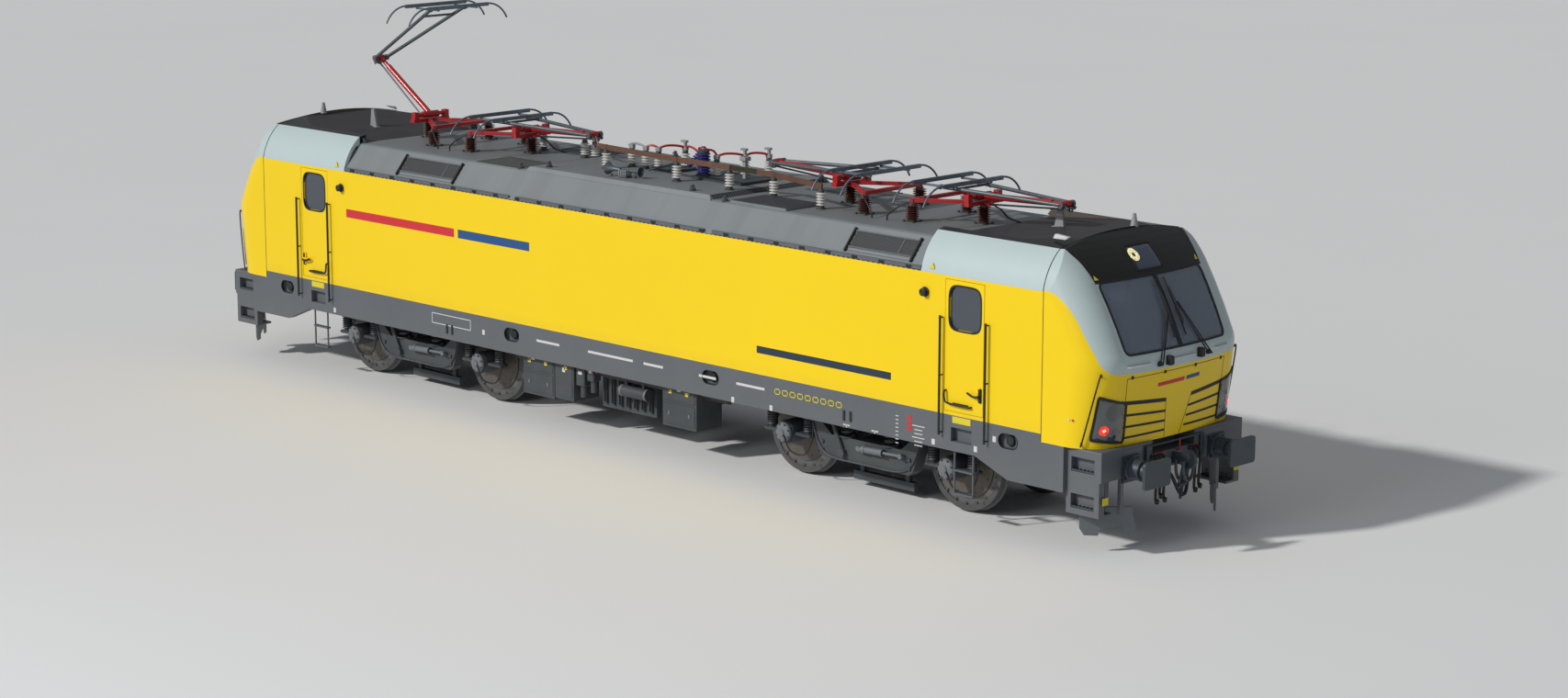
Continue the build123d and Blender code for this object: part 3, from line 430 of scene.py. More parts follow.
def bodyPaint():
    # Yellow sides, silver shoulders and brow with a swept edge, black cap, dark trough with brown walls.
    kit = Nodes("bodyPaint")
    x = kit.math("ABSOLUTE", kit.x)
    y = kit.math("ABSOLUTE", kit.y)
    tone = kit.noise(0.5, 3)
    streak = kit.noise(2.2, 4, (1, 1, 0.12))
    grain = kit.noise(90, 2)
    low = tuple(c * 0.965 for c in yellow)
    colour = kit.mix(tone, low, yellow)
    edge = kit.curve(x, sweep, 8.0, 9.3, 2.0, 3.5)
    silverMask = kit.step(kit.z, edge, 0.002)
    pale = kit.mix(streak, tuple(c * 0.93 for c in silver), silver)
    colour = kit.mix(silverMask, colour, pale)
    side = kit.curve(x, capEdge, 7.9, 8.8, 1.0, 1.3)
    blackMask = kit.both(kit.math("SUBTRACT", 1.0, kit.step(y, side, 0.002)), kit.step(kit.z, 3.402, 0.002))
    colour = kit.mix(blackMask, colour, kit.mix(tone, tuple(c * 0.8 for c in capBlack), capBlack))
    floorHeight = kit.math("MULTIPLY_ADD", x, 0.18 / 2.025, 3.72 - 6.035 * 0.18 / 2.025)
    within = kit.both(
        kit.math("SUBTRACT", 1.0, kit.step(y, 1.0605, 0.0005)),
        kit.math("SUBTRACT", 1.0, kit.step(x, 8.0605, 0.0005)),
        kit.step(kit.z, kit.math("SUBTRACT", floorHeight, 0.002), 0.0005), kit.step(kit.z, 3.7, 0.001)
    )
    wallMask = kit.both(within, kit.step(kit.z, kit.math("ADD", floorHeight, 0.004), 0.001))
    colour = kit.mix(within, colour, kit.mix(streak, (0.028, 0.027, 0.030), (0.05, 0.048, 0.05)))
    colour = kit.mix(wallMask, colour, kit.mix(streak, (0.085, 0.070, 0.058), (0.125, 0.105, 0.088)))
    rough = kit.math("MULTIPLY_ADD", grain, 0.05, 0.30)
    rough = kit.math("ADD", rough, kit.math("MULTIPLY", within, 0.4))
    return kit.finish(colour, rough, 0.0, grain, 0.0002, 0.06, 0.3)


def sidePaint():
    # Yellow paint with faint clouding and a slightly dusty lower edge.
    kit = Nodes("sidePaint")
    tone = kit.noise(0.5, 3)
    grain = kit.noise(90, 2)
    speck = kit.noise(5, 5, (1, 1, 0.3))
    colour = kit.mix(tone, tuple(c * 0.965 for c in yellow), yellow)
    dusty = kit.math("SUBTRACT", 1.0, kit.step(kit.z, 1.56, 0.09))
    colour = kit.mix(kit.both(dusty, speck, 0.25), colour, (0.45, 0.33, 0.05))
    return kit.finish(colour, kit.math("MULTIPLY_ADD", grain, 0.05, 0.3), 0.0, grain, 0.0002, 0.06, 0.3)


def roofPaint():
    # Grey roof paint with long rain streaks down the slopes and soot near the middle.
    kit = Nodes("roofPaint")
    y = kit.math("ABSOLUTE", kit.y)
    tone = kit.noise(0.7, 4)
    streak = kit.noise(1.1, 5, (3.0, 0.25, 0.25))
    grain = kit.noise(70, 3)
    colour = kit.mix(tone, (0.165, 0.185, 0.198), (0.205, 0.226, 0.238))
    colour = kit.mix(
        kit.both(kit.clamp(kit.math("MULTIPLY_ADD", streak, 3.0, -1.35)), 0.35), colour,
        (0.125, 0.135, 0.142)
    )
    top = kit.math("SUBTRACT", 1.0, kit.step(y, 0.95, 0.3))
    colour = kit.mix(kit.both(top, kit.step(kit.z, 3.70, 0.01), 0.22), colour, (0.12, 0.115, 0.11))
    return kit.finish(colour, kit.math("MULTIPLY_ADD", grain, 0.2, 0.45), 0.0, grain, 0.0008)


def sillFinish():
    # Dark grey paint with dust that gathers towards the lower edge.
    kit = Nodes("sillFinish")
    tone = kit.noise(1.1, 4)
    grain = kit.noise(75, 3)
    speck = kit.noise(7, 5, (1, 1, 0.35))
    colour = kit.mix(tone, (0.088, 0.100, 0.115), (0.112, 0.126, 0.142))
    low = kit.math("SUBTRACT", 1.0, kit.step(kit.z, 1.1, 0.28))
    colour = kit.mix(kit.both(low, speck, 0.35), colour, (0.155, 0.145, 0.13))
    return kit.finish(colour, kit.math("MULTIPLY_ADD", grain, 0.15, 0.42), 0.0, grain, 0.0004)


def copperBar():
    # Dull brown copper, green-black where the bar spans between two posts near the drop.
    kit = Nodes("copperBar")
    tone = kit.noise(9, 4)
    streak = kit.noise(4, 3, (0.4, 3, 3))
    colour = kit.mix(tone, (0.115, 0.055, 0.034), (0.19, 0.098, 0.062))
    span = kit.inside(kit.x, 1.62, 2.0, 0.01)
    colour = kit.mix(span, colour, kit.mix(streak, (0.022, 0.02, 0.008), (0.05, 0.044, 0.018)))
    return kit.finish(colour, kit.math("MULTIPLY_ADD", tone, 0.2, 0.4), 0.35, streak, 0.001)


def wheelMetal():
    # Bright tread and flange, dark dusty faces.
    kit = Nodes("wheelMetal")
    tone = kit.noise(6, 5)
    grain = kit.noise(90, 3)
    y = kit.math("ABSOLUTE", kit.y)
    colour = kit.mix(tone, (0.05, 0.052, 0.055), (0.11, 0.105, 0.098))
    rimMask = kit.inside(y, 0.7, 0.8145, 0.002)
    colour = kit.mix(kit.both(rimMask, 0.35), colour, (0.24, 0.25, 0.26))
    return kit.finish(colour, kit.math("MULTIPLY_ADD", grain, 0.25, 0.4), 0.5, tone, 0.001)


def discMetal():
    # Cast brake disc, brown-grey with fine scoring.
    kit = Nodes("discMetal")
    tone = kit.noise(10, 5)
    grain = kit.noise(140, 2)
    colour = kit.mix(tone, (0.085, 0.075, 0.066), (0.15, 0.132, 0.115))
    return kit.finish(colour, kit.math("MULTIPLY_ADD", grain, 0.2, 0.42), 0.45, grain, 0.0006)


def paneGlass(name, tint, clear):
    # Tinted pane that shows the cab behind it.
    kit = Nodes(name)
    tone = kit.noise(0.9, 2)
    colour = kit.mix(tone, tuple(c * 0.8 for c in tint), tint)
    material = kit.finish(colour, 0.06, 0.0, None, 0, 0.6, 0.8)
    kit.shader.inputs["Alpha"].default_value = clear
    return material


def glowGlass(name, colour, strength):
    # Lamp glass that shines, with a fine grain of separate lights.
    kit = Nodes(name)
    cells = kit.tree.nodes.new("ShaderNodeTexVoronoi")
    cells.inputs["Scale"].default_value = 55
    kit.tree.links.new(kit.place, cells.inputs["Vector"])
    spot = kit.math("SUBTRACT", 1.0, kit.step(cells.outputs["Distance"], 0.42, 0.1))
    mixed = kit.mix(spot, tuple(c * 0.45 for c in colour), colour)
    kit.finish(mixed, 0.25, 0.0, None, 0, 0.4)
    kit.tree.links.new(mixed, kit.shader.inputs["Emission Color"])
    kit.shader.inputs["Emission Strength"].default_value = strength
    return kit.material


def meshScreenShadedHoles():
    # Dark woven screen of small square holes, the holes painted near-black as painted shade seen through
    # them.
    kit = Nodes("meshScreenShadedHoles")
    across = kit.math("PINGPONG", kit.x, 0.011)
    up = kit.math("PINGPONG", kit.z, 0.007)
    wire = kit.math("MAXIMUM", kit.step(across, 0.0075, 0.001), kit.step(up, 0.0048, 0.001))
    # The near-black in the holes is painted shade; the wires are dark grey.
    colour = kit.mix(wire, (0.004, 0.004, 0.005), (0.075, 0.08, 0.085))
    return kit.finish(colour, 0.5, 0.2, wire, 0.003)


for finish in (bodyPaint, sidePaint, roofPaint, sillFinish, copperBar, wheelMetal, discMetal, meshScreenShadedHoles):
    material = finish()
    looks[material.name] = material
for name, *settings in (
    ("paneGlass", (0.27, 0.34, 0.46), 0.40),
    ("doorGlass", (0.045, 0.06, 0.085), 0.85),
    ("lampCover", (0.075, 0.085, 0.09), 1.0),
    ("lampMirror", (0.035, 0.04, 0.035), 1.0),
    ("blueGlass", (0.022, 0.042, 0.09), 1.0),
):
    looks[name] = paneGlass(name, *settings)
for name, *settings in (("creamLight", (0.9, 0.82, 0.42), 1.0), ("redLight", (0.95, 0.03, 0.02), 1.2)):
    looks[name] = glowGlass(name, *settings)
print("materials: painted surfaces and glass ready")

carried = {
    "cab_noses": "bodyPaint", "cab_roofs": "bodyPaint", "right_side_wall": "sidePaint",
    "left_side_wall": "sidePaint", "machine_room_roof": "roofPaint", "underframe": "sillFinish",
    "windscreens": "paneGlass", "cab_bulkheads": "cabTrim", "driver_desks": "cabTrim",
    "driver_seats": "seatCloth", "screw_couplings": "bufferSteel", "buffers": "bufferSteel",
    "rail_guards": "lightGear", "entry_ladders": "sillPaint", "handrails": "blackPaint",
    "transformer": "gearPaint", "battery_boxes": "gearPaint", "air_equipment": "gearPaint",
    "equipment_block": "cabTrim", "busbars": "copperBar", "main_switch": "steelCap", "horns": "armMetal",
    "pantograph_bases": "redPaint", "pantograph_insulators": "brownPorcelain",
    "busbar_insulators": "whitePorcelain", "headlamps": "lampCover",
}
for name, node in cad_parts.items():
    if name in carried:
        look = carried[name]
    elif name.endswith("door"):
        look = "sidePaint"
    elif name.endswith("door_window"):
        look = "doorGlass"
    elif name.endswith("wheelset"):
        look = "wheelMetal"
    elif name.endswith("lower_arm"):
        look = "redPaint"
    elif name.endswith("head"):
        look = "stripMetal"
    elif "pantograph" in name:
        look = "armMetal"
    else:
        look = "gearPaint"
    node.data.materials.clear()
    node.data.materials.append(looks[look])
print("materials: frame painted")


# ---------- nose surface, the same outline as the cab's

nose = dict(front=9.151, corner=8.560, cornerHalf=1.060, bow=0.081, side=1.506, footBack=0.119, foot=1.378,
            brow=2.485, browRound=0.090, screenBack=0.508, screenTop=3.427, screenBow=0.018, capBow=0.045,
            seam=8.099, top=3.925)


def noseProfile():
    # Height and setback of the nose: straight front, parabola round the brow, bowed screen and cap.
    n = nose
    below = (n["footBack"] * n["browRound"] / (n["brow"] - n["foot"]), n["brow"] - n["browRound"])
    above = (n["screenBack"] * n["browRound"] / (n["screenTop"] - n["brow"]), n["brow"] + n["browRound"])
    points = [(n["footBack"], n["foot"]), below]
    for t in (0.25, 0.5, 0.75, 1):
        controls = zip(below, (0, n["brow"]), above)
        points.append(tuple((1 - t) ** 2 * p + 2 * t * (1 - t) * q + t ** 2 * r for p, q, r in controls))
    for end, bow, count in (
        ((n["screenBack"], n["screenTop"]), -n["screenBow"], 3),
        ((n["front"] - n["seam"], n["top"]), -n["capBow"], 6)
    ):
        start = np.array(points[-1])
        run = np.array(end) - start
        length = np.hypot(*run)
        for t in np.arange(1, count + 1) / count:
            lift = 4 * bow * t * (1 - t)
            points.append(tuple(start + run * t + np.array([run[1], -run[0]]) / length * lift))
    points = np.array(points)
    return points[:, 1], points[:, 0]


profileHeights, profileSetbacks = noseProfile()


def nosePoint(s, z, lift=0.0):
    # Point on the nose. s below 0 runs back along the right side in metres, 0 to 1 goes round its corner,
    # 1 to 2 crosses the front, 2 to 3 goes round the left corner. The lift moves it out along the normal.
    n = nose

    def surface(s, z):
        back = np.interp(z, profileHeights, profileSetbacks)
        corner = n["corner"] - back
        edge = n["front"] - back - n["bow"]
        w = np.where(s > 1.5, 3 - s, s)
        hand = np.where(s > 1.5, 1.0, -1.0)
        angle = np.clip(w, 0, 1) * np.pi / 2
        xCorner = corner + (edge - corner) * np.sin(angle) + np.minimum(w, 0)
        yCorner = n["cornerHalf"] + (n["side"] - n["cornerHalf"]) * np.cos(angle)
        yFront = (s - 1.5) * 2 * n["cornerHalf"]
        xFront = edge + n["bow"] * (1 - (yFront / n["cornerHalf"]) ** 2)
        front = (s > 1) & (s < 2)
        return np.stack(
            [np.where(front, xFront, xCorner), np.where(front, yFront, hand * yCorner), z + 0 * s], -1
        )

    s, z = np.broadcast_arrays(np.asarray(s, float), np.asarray(z, float))
    d = 0.004
    across = surface(s + d, z) - surface(s - d, z)
    up = surface(s, z + d) - surface(s, z - d)
    normal = np.cross(across, up)
    normal /= np.linalg.norm(normal, axis=-1)[..., None] + 1e-12
    return surface(s, z) + normal * (np.asarray(lift)[..., None] if np.ndim(lift) else lift)


def aroundNose(y):
    # The s of a point on the front or the corners with this y.
    n = nose
    side = np.sign(y)
    if abs(y) <= n["cornerHalf"]:
        return 1.5 + y / (2 * n["cornerHalf"])
    w = math.acos(min(1, (abs(y) - n["cornerHalf"]) / (n["side"] - n["cornerHalf"]))) / (math.pi / 2)
    return 3 - w if side > 0 else w


def skinStrip(points, width, height=0.003, lift=0.0, closed=False):
    # A flat strip laid on the nose along (s, z) points: a thin rectangle carried along the line.
    points = np.asarray(points, float)
    fine = []
    pairs = list(zip(points, np.roll(points, -1, 0))) if closed else list(zip(points, points[1:]))
    for a, b in pairs:
        count = max(2, int(np.linalg.norm((b - a) * [2.1, 1]) / 0.03) + 1)
        fine.append(np.linspace(a, b, count, endpoint=False))
    fine = np.vstack(fine + ([] if closed else [points[-1][None]]))
    base = nosePoint(fine[:, 0], fine[:, 1], lift)
    top = nosePoint(fine[:, 0], fine[:, 1], lift + height)
    out = top - base
    out /= np.linalg.norm(out, axis=1)[:, None]
    run = (np.roll(base, -1, 0) - np.roll(base, 1, 0)) if closed else np.gradient(base, axis=0)
    side = np.cross(run, out)
    side /= np.linalg.norm(side, axis=1)[:, None] + 1e-12
    half = side * width / 2
    sunk = out * 0.004
    ring = np.stack([base - half - sunk, base + half - sunk, top + half, top - half], 1)
    faces = gridFaces(len(ring), 4, closed, True)
    if not closed:
        faces.append([0, 1, 2, 3])
        faces.append([(len(ring) - 1) * 4 + k for k in (3, 2, 1, 0)])
    return ring.reshape(-1, 3), [f[::-1] for f in faces]


def skinPatch(sLow, sHigh, zLow, zHigh, lift, rows=12, cols=14):
    # A panel laid on the nose between two edges, with its rim turned down to the skin.
    v, u = np.meshgrid(np.linspace(0, 1, rows), np.linspace(0, 1, cols), indexing="ij")
    s = sLow + (sHigh - sLow) * u
    z = zLow + (zHigh - zLow) * v
    rim = (u == 0) | (u == 1) | (v == 0) | (v == 1)
    points = nosePoint(s, z, np.where(rim, -0.006, lift))
    return points.reshape(-1, 3), gridFaces(rows, cols)


def roundedLoop(corners, radius, steps=6):
    # Corner points of a closed outline, each rounded by a short parabola.
    corners = np.asarray(corners, float)
    out = []
    for a, b, c in zip(np.roll(corners, 1, 0), corners, np.roll(corners, -1, 0)):
        p = b + (a - b) * min(0.45, radius / np.linalg.norm((a - b) * [2.1, 1]))
        q = b + (c - b) * min(0.45, radius / np.linalg.norm((c - b) * [2.1, 1]))
        t = np.linspace(0, 1, steps)[:, None]
        out.append((1 - t) ** 2 * p + 2 * t * (1 - t) * b + t ** 2 * q)
    return np.vstack(out)


# Windscreen gasket, pillar and the front hood's seams, and the slot openings on the hood drawn as black
# strips of painted shade
front = dict(gasket=0.030, pillar=0.062, seam=0.007)


def acrossNose(y):
    return 1.5 + y / (2 * nose["cornerHalf"])


def noseTrim():
    gasketLine = roundedLoop(
        [
            (acrossNose(-1.000), 2.548), (acrossNose(1.000), 2.548), (acrossNose(1.026), 3.412),
            (acrossNose(-1.026), 3.412)
        ],
        0.09
    )
    shapes = [skinStrip(gasketLine, front["gasket"], 0.006, closed=True)]
    shapes.append(skinStrip([(1.505, 2.54), (1.505, 3.42)], front["pillar"], 0.008))
    for side in (-1, 1):
        inner = -0.230 if side < 0 else 0.20
        # Each slot is a black strip on the skin: painted shade in place of the dark inside the opening.
        shadedSlots = [(1.940, 1.884, 0.050), (1.778, 1.735, 0.032), (1.624, 1.606, 0.030), (1.480, 1.484, 0.028)]
        for k, (outerZ, innerZ, width) in enumerate(shadedSlots):
            drift = (0.0, 0.015, 0.025, 0.035)[k]
            innerY = inner + (drift if side < 0 else 0.085 - 2.2 * drift * 1.2)
            outerY = side * (0.985 - 0.4 * drift)
            shapes.append(
                skinStrip([(acrossNose(outerY), outerZ), (acrossNose(innerY), innerZ)], width, 0.003)
            )
        bottom = inner + (0.04 if side < 0 else -0.09)
        start = inner if side < 0 else inner + 0.085
        shapes.append(
            skinStrip([(acrossNose(start), 1.884), (acrossNose(bottom), 1.385)], front["seam"], 0.002)
        )
        shapes.append(
            skinStrip(
                [(acrossNose(side * 0.985), 2.255 + 0.01 * side), (acrossNose(side * 0.96), 1.39)],
                front["seam"], 0.002
            )
        )
        for y in (0.90, 0.31):
            shapes.append(
                skinStrip(
                    [(acrossNose(side * y - 0.018), 2.262), (acrossNose(side * y + 0.018), 2.262)], 0.04,
                    0.008
                )
            )
    shapes.append(
        skinStrip(
            [(acrossNose(-0.985), 2.252), (acrossNose(0), 2.266), (acrossNose(0.985), 2.266)],
            front["seam"], 0.002
        )
    )
    z = np.linspace(1.381, 3.325, 30)
    for side in (0, 3):
        s = nose["seam"] + 0.006 - nose["corner"] + np.interp(z, profileHeights, profileSetbacks)
        shapes.append(skinStrip(np.c_[s if side == 0 else 3 - s, z], 0.010, 0.002))
    return joined(shapes)


# The trim includes the hood's slot openings, black strips of painted shade.
addPiece("noseTrim", bothEnds(noseTrim()), "blackRubber")

# Corner handrails, black, with ends turned into the nose
cornerRail = nosePoint(
    np.array([0.34, 0.36, 0.52, 0.56]), np.array([1.455, 1.475, 2.285, 2.312]),
    np.array([-0.004, 0.038, 0.038, -0.004])
)
shapes = [tube(smooth(cornerRail, 5), 0.011, 8)]
shapes.append(mirrored(shapes[0]))
addPiece("cornerRails", bothEnds(joined(shapes)), "blackPaint")

# Polished grab bars under the screen
shapes = []
for low, high in ((-1.008, -0.606), (-0.174, 0.264), (0.716, 1.005)):
    y = np.array([low, low + 0.02, (low + high) / 2, high - 0.02, high])
    shapes.append(
        tube(
            nosePoint(acrossNose(y), 2.418 + 0.01 * y, np.array([-0.004, 0.028, 0.028, 0.028, -0.004])),
            0.013, 8
        )
    )
addPiece("grabBars", bothEnds(joined(shapes)), "silverTube")

# Wipers: motor foot, two thin arms and a long blade
wipers = dict(arm=0.008, blade=0.011, lift=0.032)


def wiper(footY, footZ, middleY, middleZ, bladeY, bladeLow, bladeHigh):
    lift = wipers["lift"]
    foot = nosePoint(acrossNose(footY), footZ, 0.05)
    middle = nosePoint(acrossNose(middleY), middleZ, lift + 0.025)
    side = np.array([0, 0.028, 0.0])
    parts = [
        lathe(
            [(0.03, 0), (0.034, 0.02), (0.028, 0.06), (0.012, 0.075)],
            nosePoint(acrossNose(footY), footZ, -0.01), (0.97, 0, 0.24), 14
        ),
        rod(foot - side, middle - side * 0.3, wipers["arm"], 7),
        rod(foot + side, middle + side * 0.5, wipers["arm"], 7),
        rod(foot - side * 1.2, foot + side * 1.2, 0.011, 7),
    ]
    z = np.linspace(bladeLow, bladeHigh, 12)
    y = np.linspace(bladeY[0], bladeY[1], 12)
    parts.append(tube(nosePoint(acrossNose(y), z, lift - 0.012), wipers["blade"], 6))
    spine = nosePoint(acrossNose(y[2:-2]), z[2:-2], lift + 0.008 + 0.014 * np.sin(np.linspace(0, np.pi, 8)))
    parts.append(tube(spine, 0.0075, 6))
    return joined(parts)


shapes = [
    wiper(-0.448, 2.376, -0.030, 3.02, (-0.085, -0.062), 2.66, 3.36),
    wiper(0.548, 2.392, 0.150, 3.05, (0.150, 0.128), 2.66, 3.36),
]
for y, z in ((-0.273, 2.412), (0.362, 2.425)):
    centre = nosePoint(acrossNose(y), z, 0.0)
    shapes.append(box(centre - [0.03, 0.045, 0.062], centre + [0.075, 0.045, 0.058], 0.014))
addPiece("wipers", bothEnds(joined(shapes)), "blackRubber")
print("nose: trim, rails and wipers")


# ---------- lamps

def cornerLamp():
    # Glass between slanting edges on the nose corner, in (s, z).
    topOuter, topInner = (aroundNose(-1.350), 2.052), (aroundNose(-0.962), 1.948)
    lowOuter, lowInner = (aroundNose(-1.385), 1.494), (aroundNose(-0.948), 1.430)
    v, u = np.meshgrid(np.linspace(0, 1, 14), np.linspace(0, 1, 16), indexing="ij")
    s = (lowOuter[0] * (1 - u) + lowInner[0] * u) * (1 - v) + (topOuter[0] * (1 - u) + topInner[0] * u) * v
    z = (lowOuter[1] * (1 - u) + lowInner[1] * u) * (1 - v) + (topOuter[1] * (1 - u) + topInner[1] * u) * v
    rim = (u == 0) | (u == 1) | (v == 0) | (v == 1)
    glass = nosePoint(s, z, np.where(rim, -0.005, 0.009)).reshape(-1, 3), gridFaces(14, 16)
    outline = roundedLoop([lowOuter, lowInner, topInner, topOuter], 0.05)
    return glass, skinStrip(outline, 0.030, 0.013, closed=True)


def lampDisc(s, z, radius, lift, rings=4, sides=22, flat=0.02):
    # A shallow dome on the nose skin about one point.
    a, r = np.meshgrid(
        np.linspace(0, 2 * np.pi, sides, endpoint=False), np.linspace(0, 1, rings + 1)[1:], indexing="ij"
    )
    centre = nosePoint(s, z, 0)
    east = nosePoint(s + 0.01, z, 0) - nosePoint(s - 0.01, z, 0)
    scale = 0.02 / np.linalg.norm(east)
    points = nosePoint(
        s + np.cos(a) * r * radius * scale, z + np.sin(a) * r * radius, lift + flat * radius * (1 - r ** 2)
    )
    tip = nosePoint(s, z, lift + flat * radius)[None]
    grid = points.transpose(1, 0, 2).reshape(-1, 3)
    faces = gridFaces(rings, sides, False, True)
    faces = [f[::-1] for f in faces]
    start = len(grid)
    faces += [[k, (k + 1) % sides, start] for k in range(sides)]
    return np.vstack([grid, tip]), faces


glass, rimStrip = cornerLamp()
addPiece("cornerLampGlass", fourWays(glass), "lampCover", replaces=["headlamps"])
addPiece("cornerLampRims", fourWays(rimStrip), "blackRubber")
redAt = aroundNose(-1.262)
addPiece("redLamps", fourWays(lampDisc(redAt, 1.616, 0.066, 0.0115)), "redLight")
addPiece("redLampCentres", fourWays(lampDisc(redAt, 1.616, 0.022, 0.0135)), "creamLight")
reflectors = joined(
    [
        lampDisc(aroundNose(-1.15), 1.84, 0.115, 0.0100, flat=0.03),
        lampDisc(aroundNose(-1.105), 1.575, 0.060, 0.0100, flat=0.03),
    ]
)
addPiece("lampReflectors", fourWays(reflectors), "lampMirror")

capPanel = skinPatch(acrossNose(-0.252), acrossNose(0.252), 3.478, 3.752, 0.006, 12, 12)
addPiece("capLampPanel", bothEnds(capPanel), "blueGlass")
capFrame = skinStrip(
    roundedLoop(
        [
            (acrossNose(-0.258), 3.472), (acrossNose(0.258), 3.472), (acrossNose(0.258), 3.758),
            (acrossNose(-0.258), 3.758)
        ],
        0.02, 4
    ),
    0.014, 0.008, closed=True
)
addPiece("capLampFrame", bothEnds(capFrame), "blackRubber")


def lampRing(y, z, inner, outer, lift):
    # A flat ring on the cap, thicker in the middle of its band.
    a, r = np.meshgrid(np.linspace(0, 2 * np.pi, 28, endpoint=False), np.linspace(0, 1, 5), indexing="ij")
    reach = inner + (outer - inner) * r
    points = nosePoint(
        acrossNose(y + np.cos(a) * reach), z + np.sin(a) * reach * 0.82, lift + 0.008 * np.sin(np.pi * r)
    )
    return points.reshape(-1, 3), [f[::-1] for f in gridFaces(28, 5, True, False)]


addPiece(
    "capLamps", bothEnds(lampRing(-0.172, 3.655, 0.028, 0.088, 0.0075)), "creamLight"
)
triangles = joined(
    [
        prism(
            nosePoint(
                acrossNose(np.array([-1.055, -0.985, -1.035])), np.array([3.445, 3.445, 3.500]), 0.003
            ),
            np.array([0.002, 0, 0.001])
        ),
        prism(
            nosePoint(acrossNose(np.array([0.985, 1.045, 1.03])), np.array([3.465, 3.465, 3.525]), 0.003),
            np.array([0.002, 0, 0.001])
        ),
    ]
)
addPiece("capMarks", bothEnds(triangles), "labelYellow")
sideLights = []
for x, y in ((8.555, -1.503), (8.609, -1.497)):
    sideLights.append(
        lathe([(0.016, 0), (0.016, 0.004), (0.010, 0.007), (0.0, 0.008)], (x, y, 1.736), (0, -1, 0), 14)
    )
addPiece("sideLights", bothEnds(sideLights[0]), "labelWhite")
addPiece("sideLightsRed", bothEnds(sideLights[1]), "labelRed")
print("nose: lamps")


# ---------- sides: door gear, gutter, stripes, labels

def onSide(x, z, width, height, depth=0.003, y=1.506):
    # A thin plate on the right side, centred on (x, z).
    return box((x - width / 2, -y - depth, z - height / 2), (x + width / 2, -y + 0.002, z + height / 2))


gutter = dict(low=3.318, high=3.372, out=1.512, inner=1.478, clampPitch=0.485)
shapes = []
for low, high in ((-6.03, -2.139), (-1.983, 1.983), (2.139, 6.03)):
    shapes.append(
        box((low, -gutter["out"], gutter["low"]), (high, -gutter["inner"], gutter["high"]), 0.006)
    )
addPiece("gutterRails", bothEnds(joined(shapes)), "sillPaint")
shapes = []
for centre in np.arange(-12, 13) * gutter["clampPitch"]:
    if abs(abs(centre) - 2.06) > 0.1 and abs(centre) < 6.0:
        for step in (-0.035, 0.0, 0.035):
            shapes.append(
                box((centre + step - 0.011, -1.520, 3.322), (centre + step + 0.011, -1.505, 3.362))
            )
addPiece("gutterClamps", bothEnds(joined(shapes)), "blackPaint")
dashes = [box((x, -1.5095, 3.306), (x + 0.05, -1.504, 3.316)) for x in np.arange(-6.0, 6.0, 0.09)]
addPiece("gutterClips", bothEnds(joined(dashes)), "blackPaint")

# Side horn sockets near the cabs
socket = lathe(
    [
        (0.062, 0), (0.068, 0.012), (0.06, 0.022), (0.035, 0.026), (0.03, 0.046), (0.048, 0.052),
        (0.052, 0.07), (0.036, 0.078), (0.0, 0.070)
    ],
    (6.115, -1.505, 3.042), (0, -1, 0), 20
)
addPiece("sideSockets", fourWays(socket), "blackRubber")

# Generic plain stripes where a livery would carry its lettering
stripes = {
    "Red": (-4.70, 2.66, 2.60, 0.13), "Blue": (-2.50, 2.66, 1.62, 0.13), "Navy": (4.27, 1.83, 2.50, 0.10),
}
for colour, stripe in stripes.items():
    addPiece(f"livery{colour}", bothEnds(onSide(*stripe, depth=0.0015)), f"label{colour}")
noseStripes = {"Red": ((-0.42, 2.105), (0.10, 2.118)), "Blue": ((0.14, 2.119), (0.42, 2.127))}
for colour, ends in noseStripes.items():
    strip = skinStrip([(acrossNose(y), z) for y, z in ends], 0.05, 0.002)
    addPiece(f"noseStripe{colour}", bothEnds(strip), f"label{colour}")


def doorGear(placed):
    # Window gasket, angled grab bar, lever and step strip of one door, for the front right corner.
    w = dict(near=6.540, far=7.065, low=2.615, high=3.180)
    centre = np.array([(w["near"] + w["far"]) / 2, (w["low"] + w["high"]) / 2])
    half = np.array([(w["far"] - w["near"]) / 2, (w["high"] - w["low"]) / 2]) + 0.002
    turn = np.linspace(0, 2 * np.pi, 48, endpoint=False)
    power = 0.45
    loop = np.c_[
        np.sign(np.cos(turn)) * np.abs(np.cos(turn)) ** power,
        np.sign(np.sin(turn)) * np.abs(np.sin(turn)) ** power
    ]
    rings = []
    for grow, y in ((0.0, -1.49), (0.0, -1.5095), (0.022, -1.5095), (0.026, -1.500)):
        edge = loop * (half + grow) + centre
        rings.append(np.c_[edge[:, 0], np.full(48, y), edge[:, 1]])
    gasket = (np.vstack(rings), [f[::-1] for f in gridFaces(4, 48, True, True)])
    grab = tube(
        smooth(
            [
                (6.495, -1.505, 1.80), (6.495, -1.545, 1.79), (6.50, -1.55, 1.70), (6.56, -1.55, 1.645),
                (6.90, -1.55, 1.635), (6.93, -1.505, 1.635)
            ],
            6
        ),
        0.014, 8
    )
    step = box((6.62, -1.53, 1.62), (6.88, -1.506, 1.655), 0.004)
    plate = box((7.055, -1.53, 1.715), (7.105, -1.506, 1.905), 0.008)
    lever = tube(
        smooth([(7.08, -1.53, 1.80), (7.07, -1.56, 1.80), (7.0, -1.565, 1.795), (6.90, -1.56, 1.83)], 5),
        0.015, 8
    )
    return placed(joined([gasket, grab, step, plate, lever]))


places = {
    "front_right": lambda shape: shape, "front_left": mirrored, "rear_left": turned,
    "rear_right": lambda shape: turned(mirrored(shape)),
}
for corner, place in places.items():
    addPiece(f"{corner}DoorGear", doorGear(place), "blackRubber", body=f"{corner}_door")

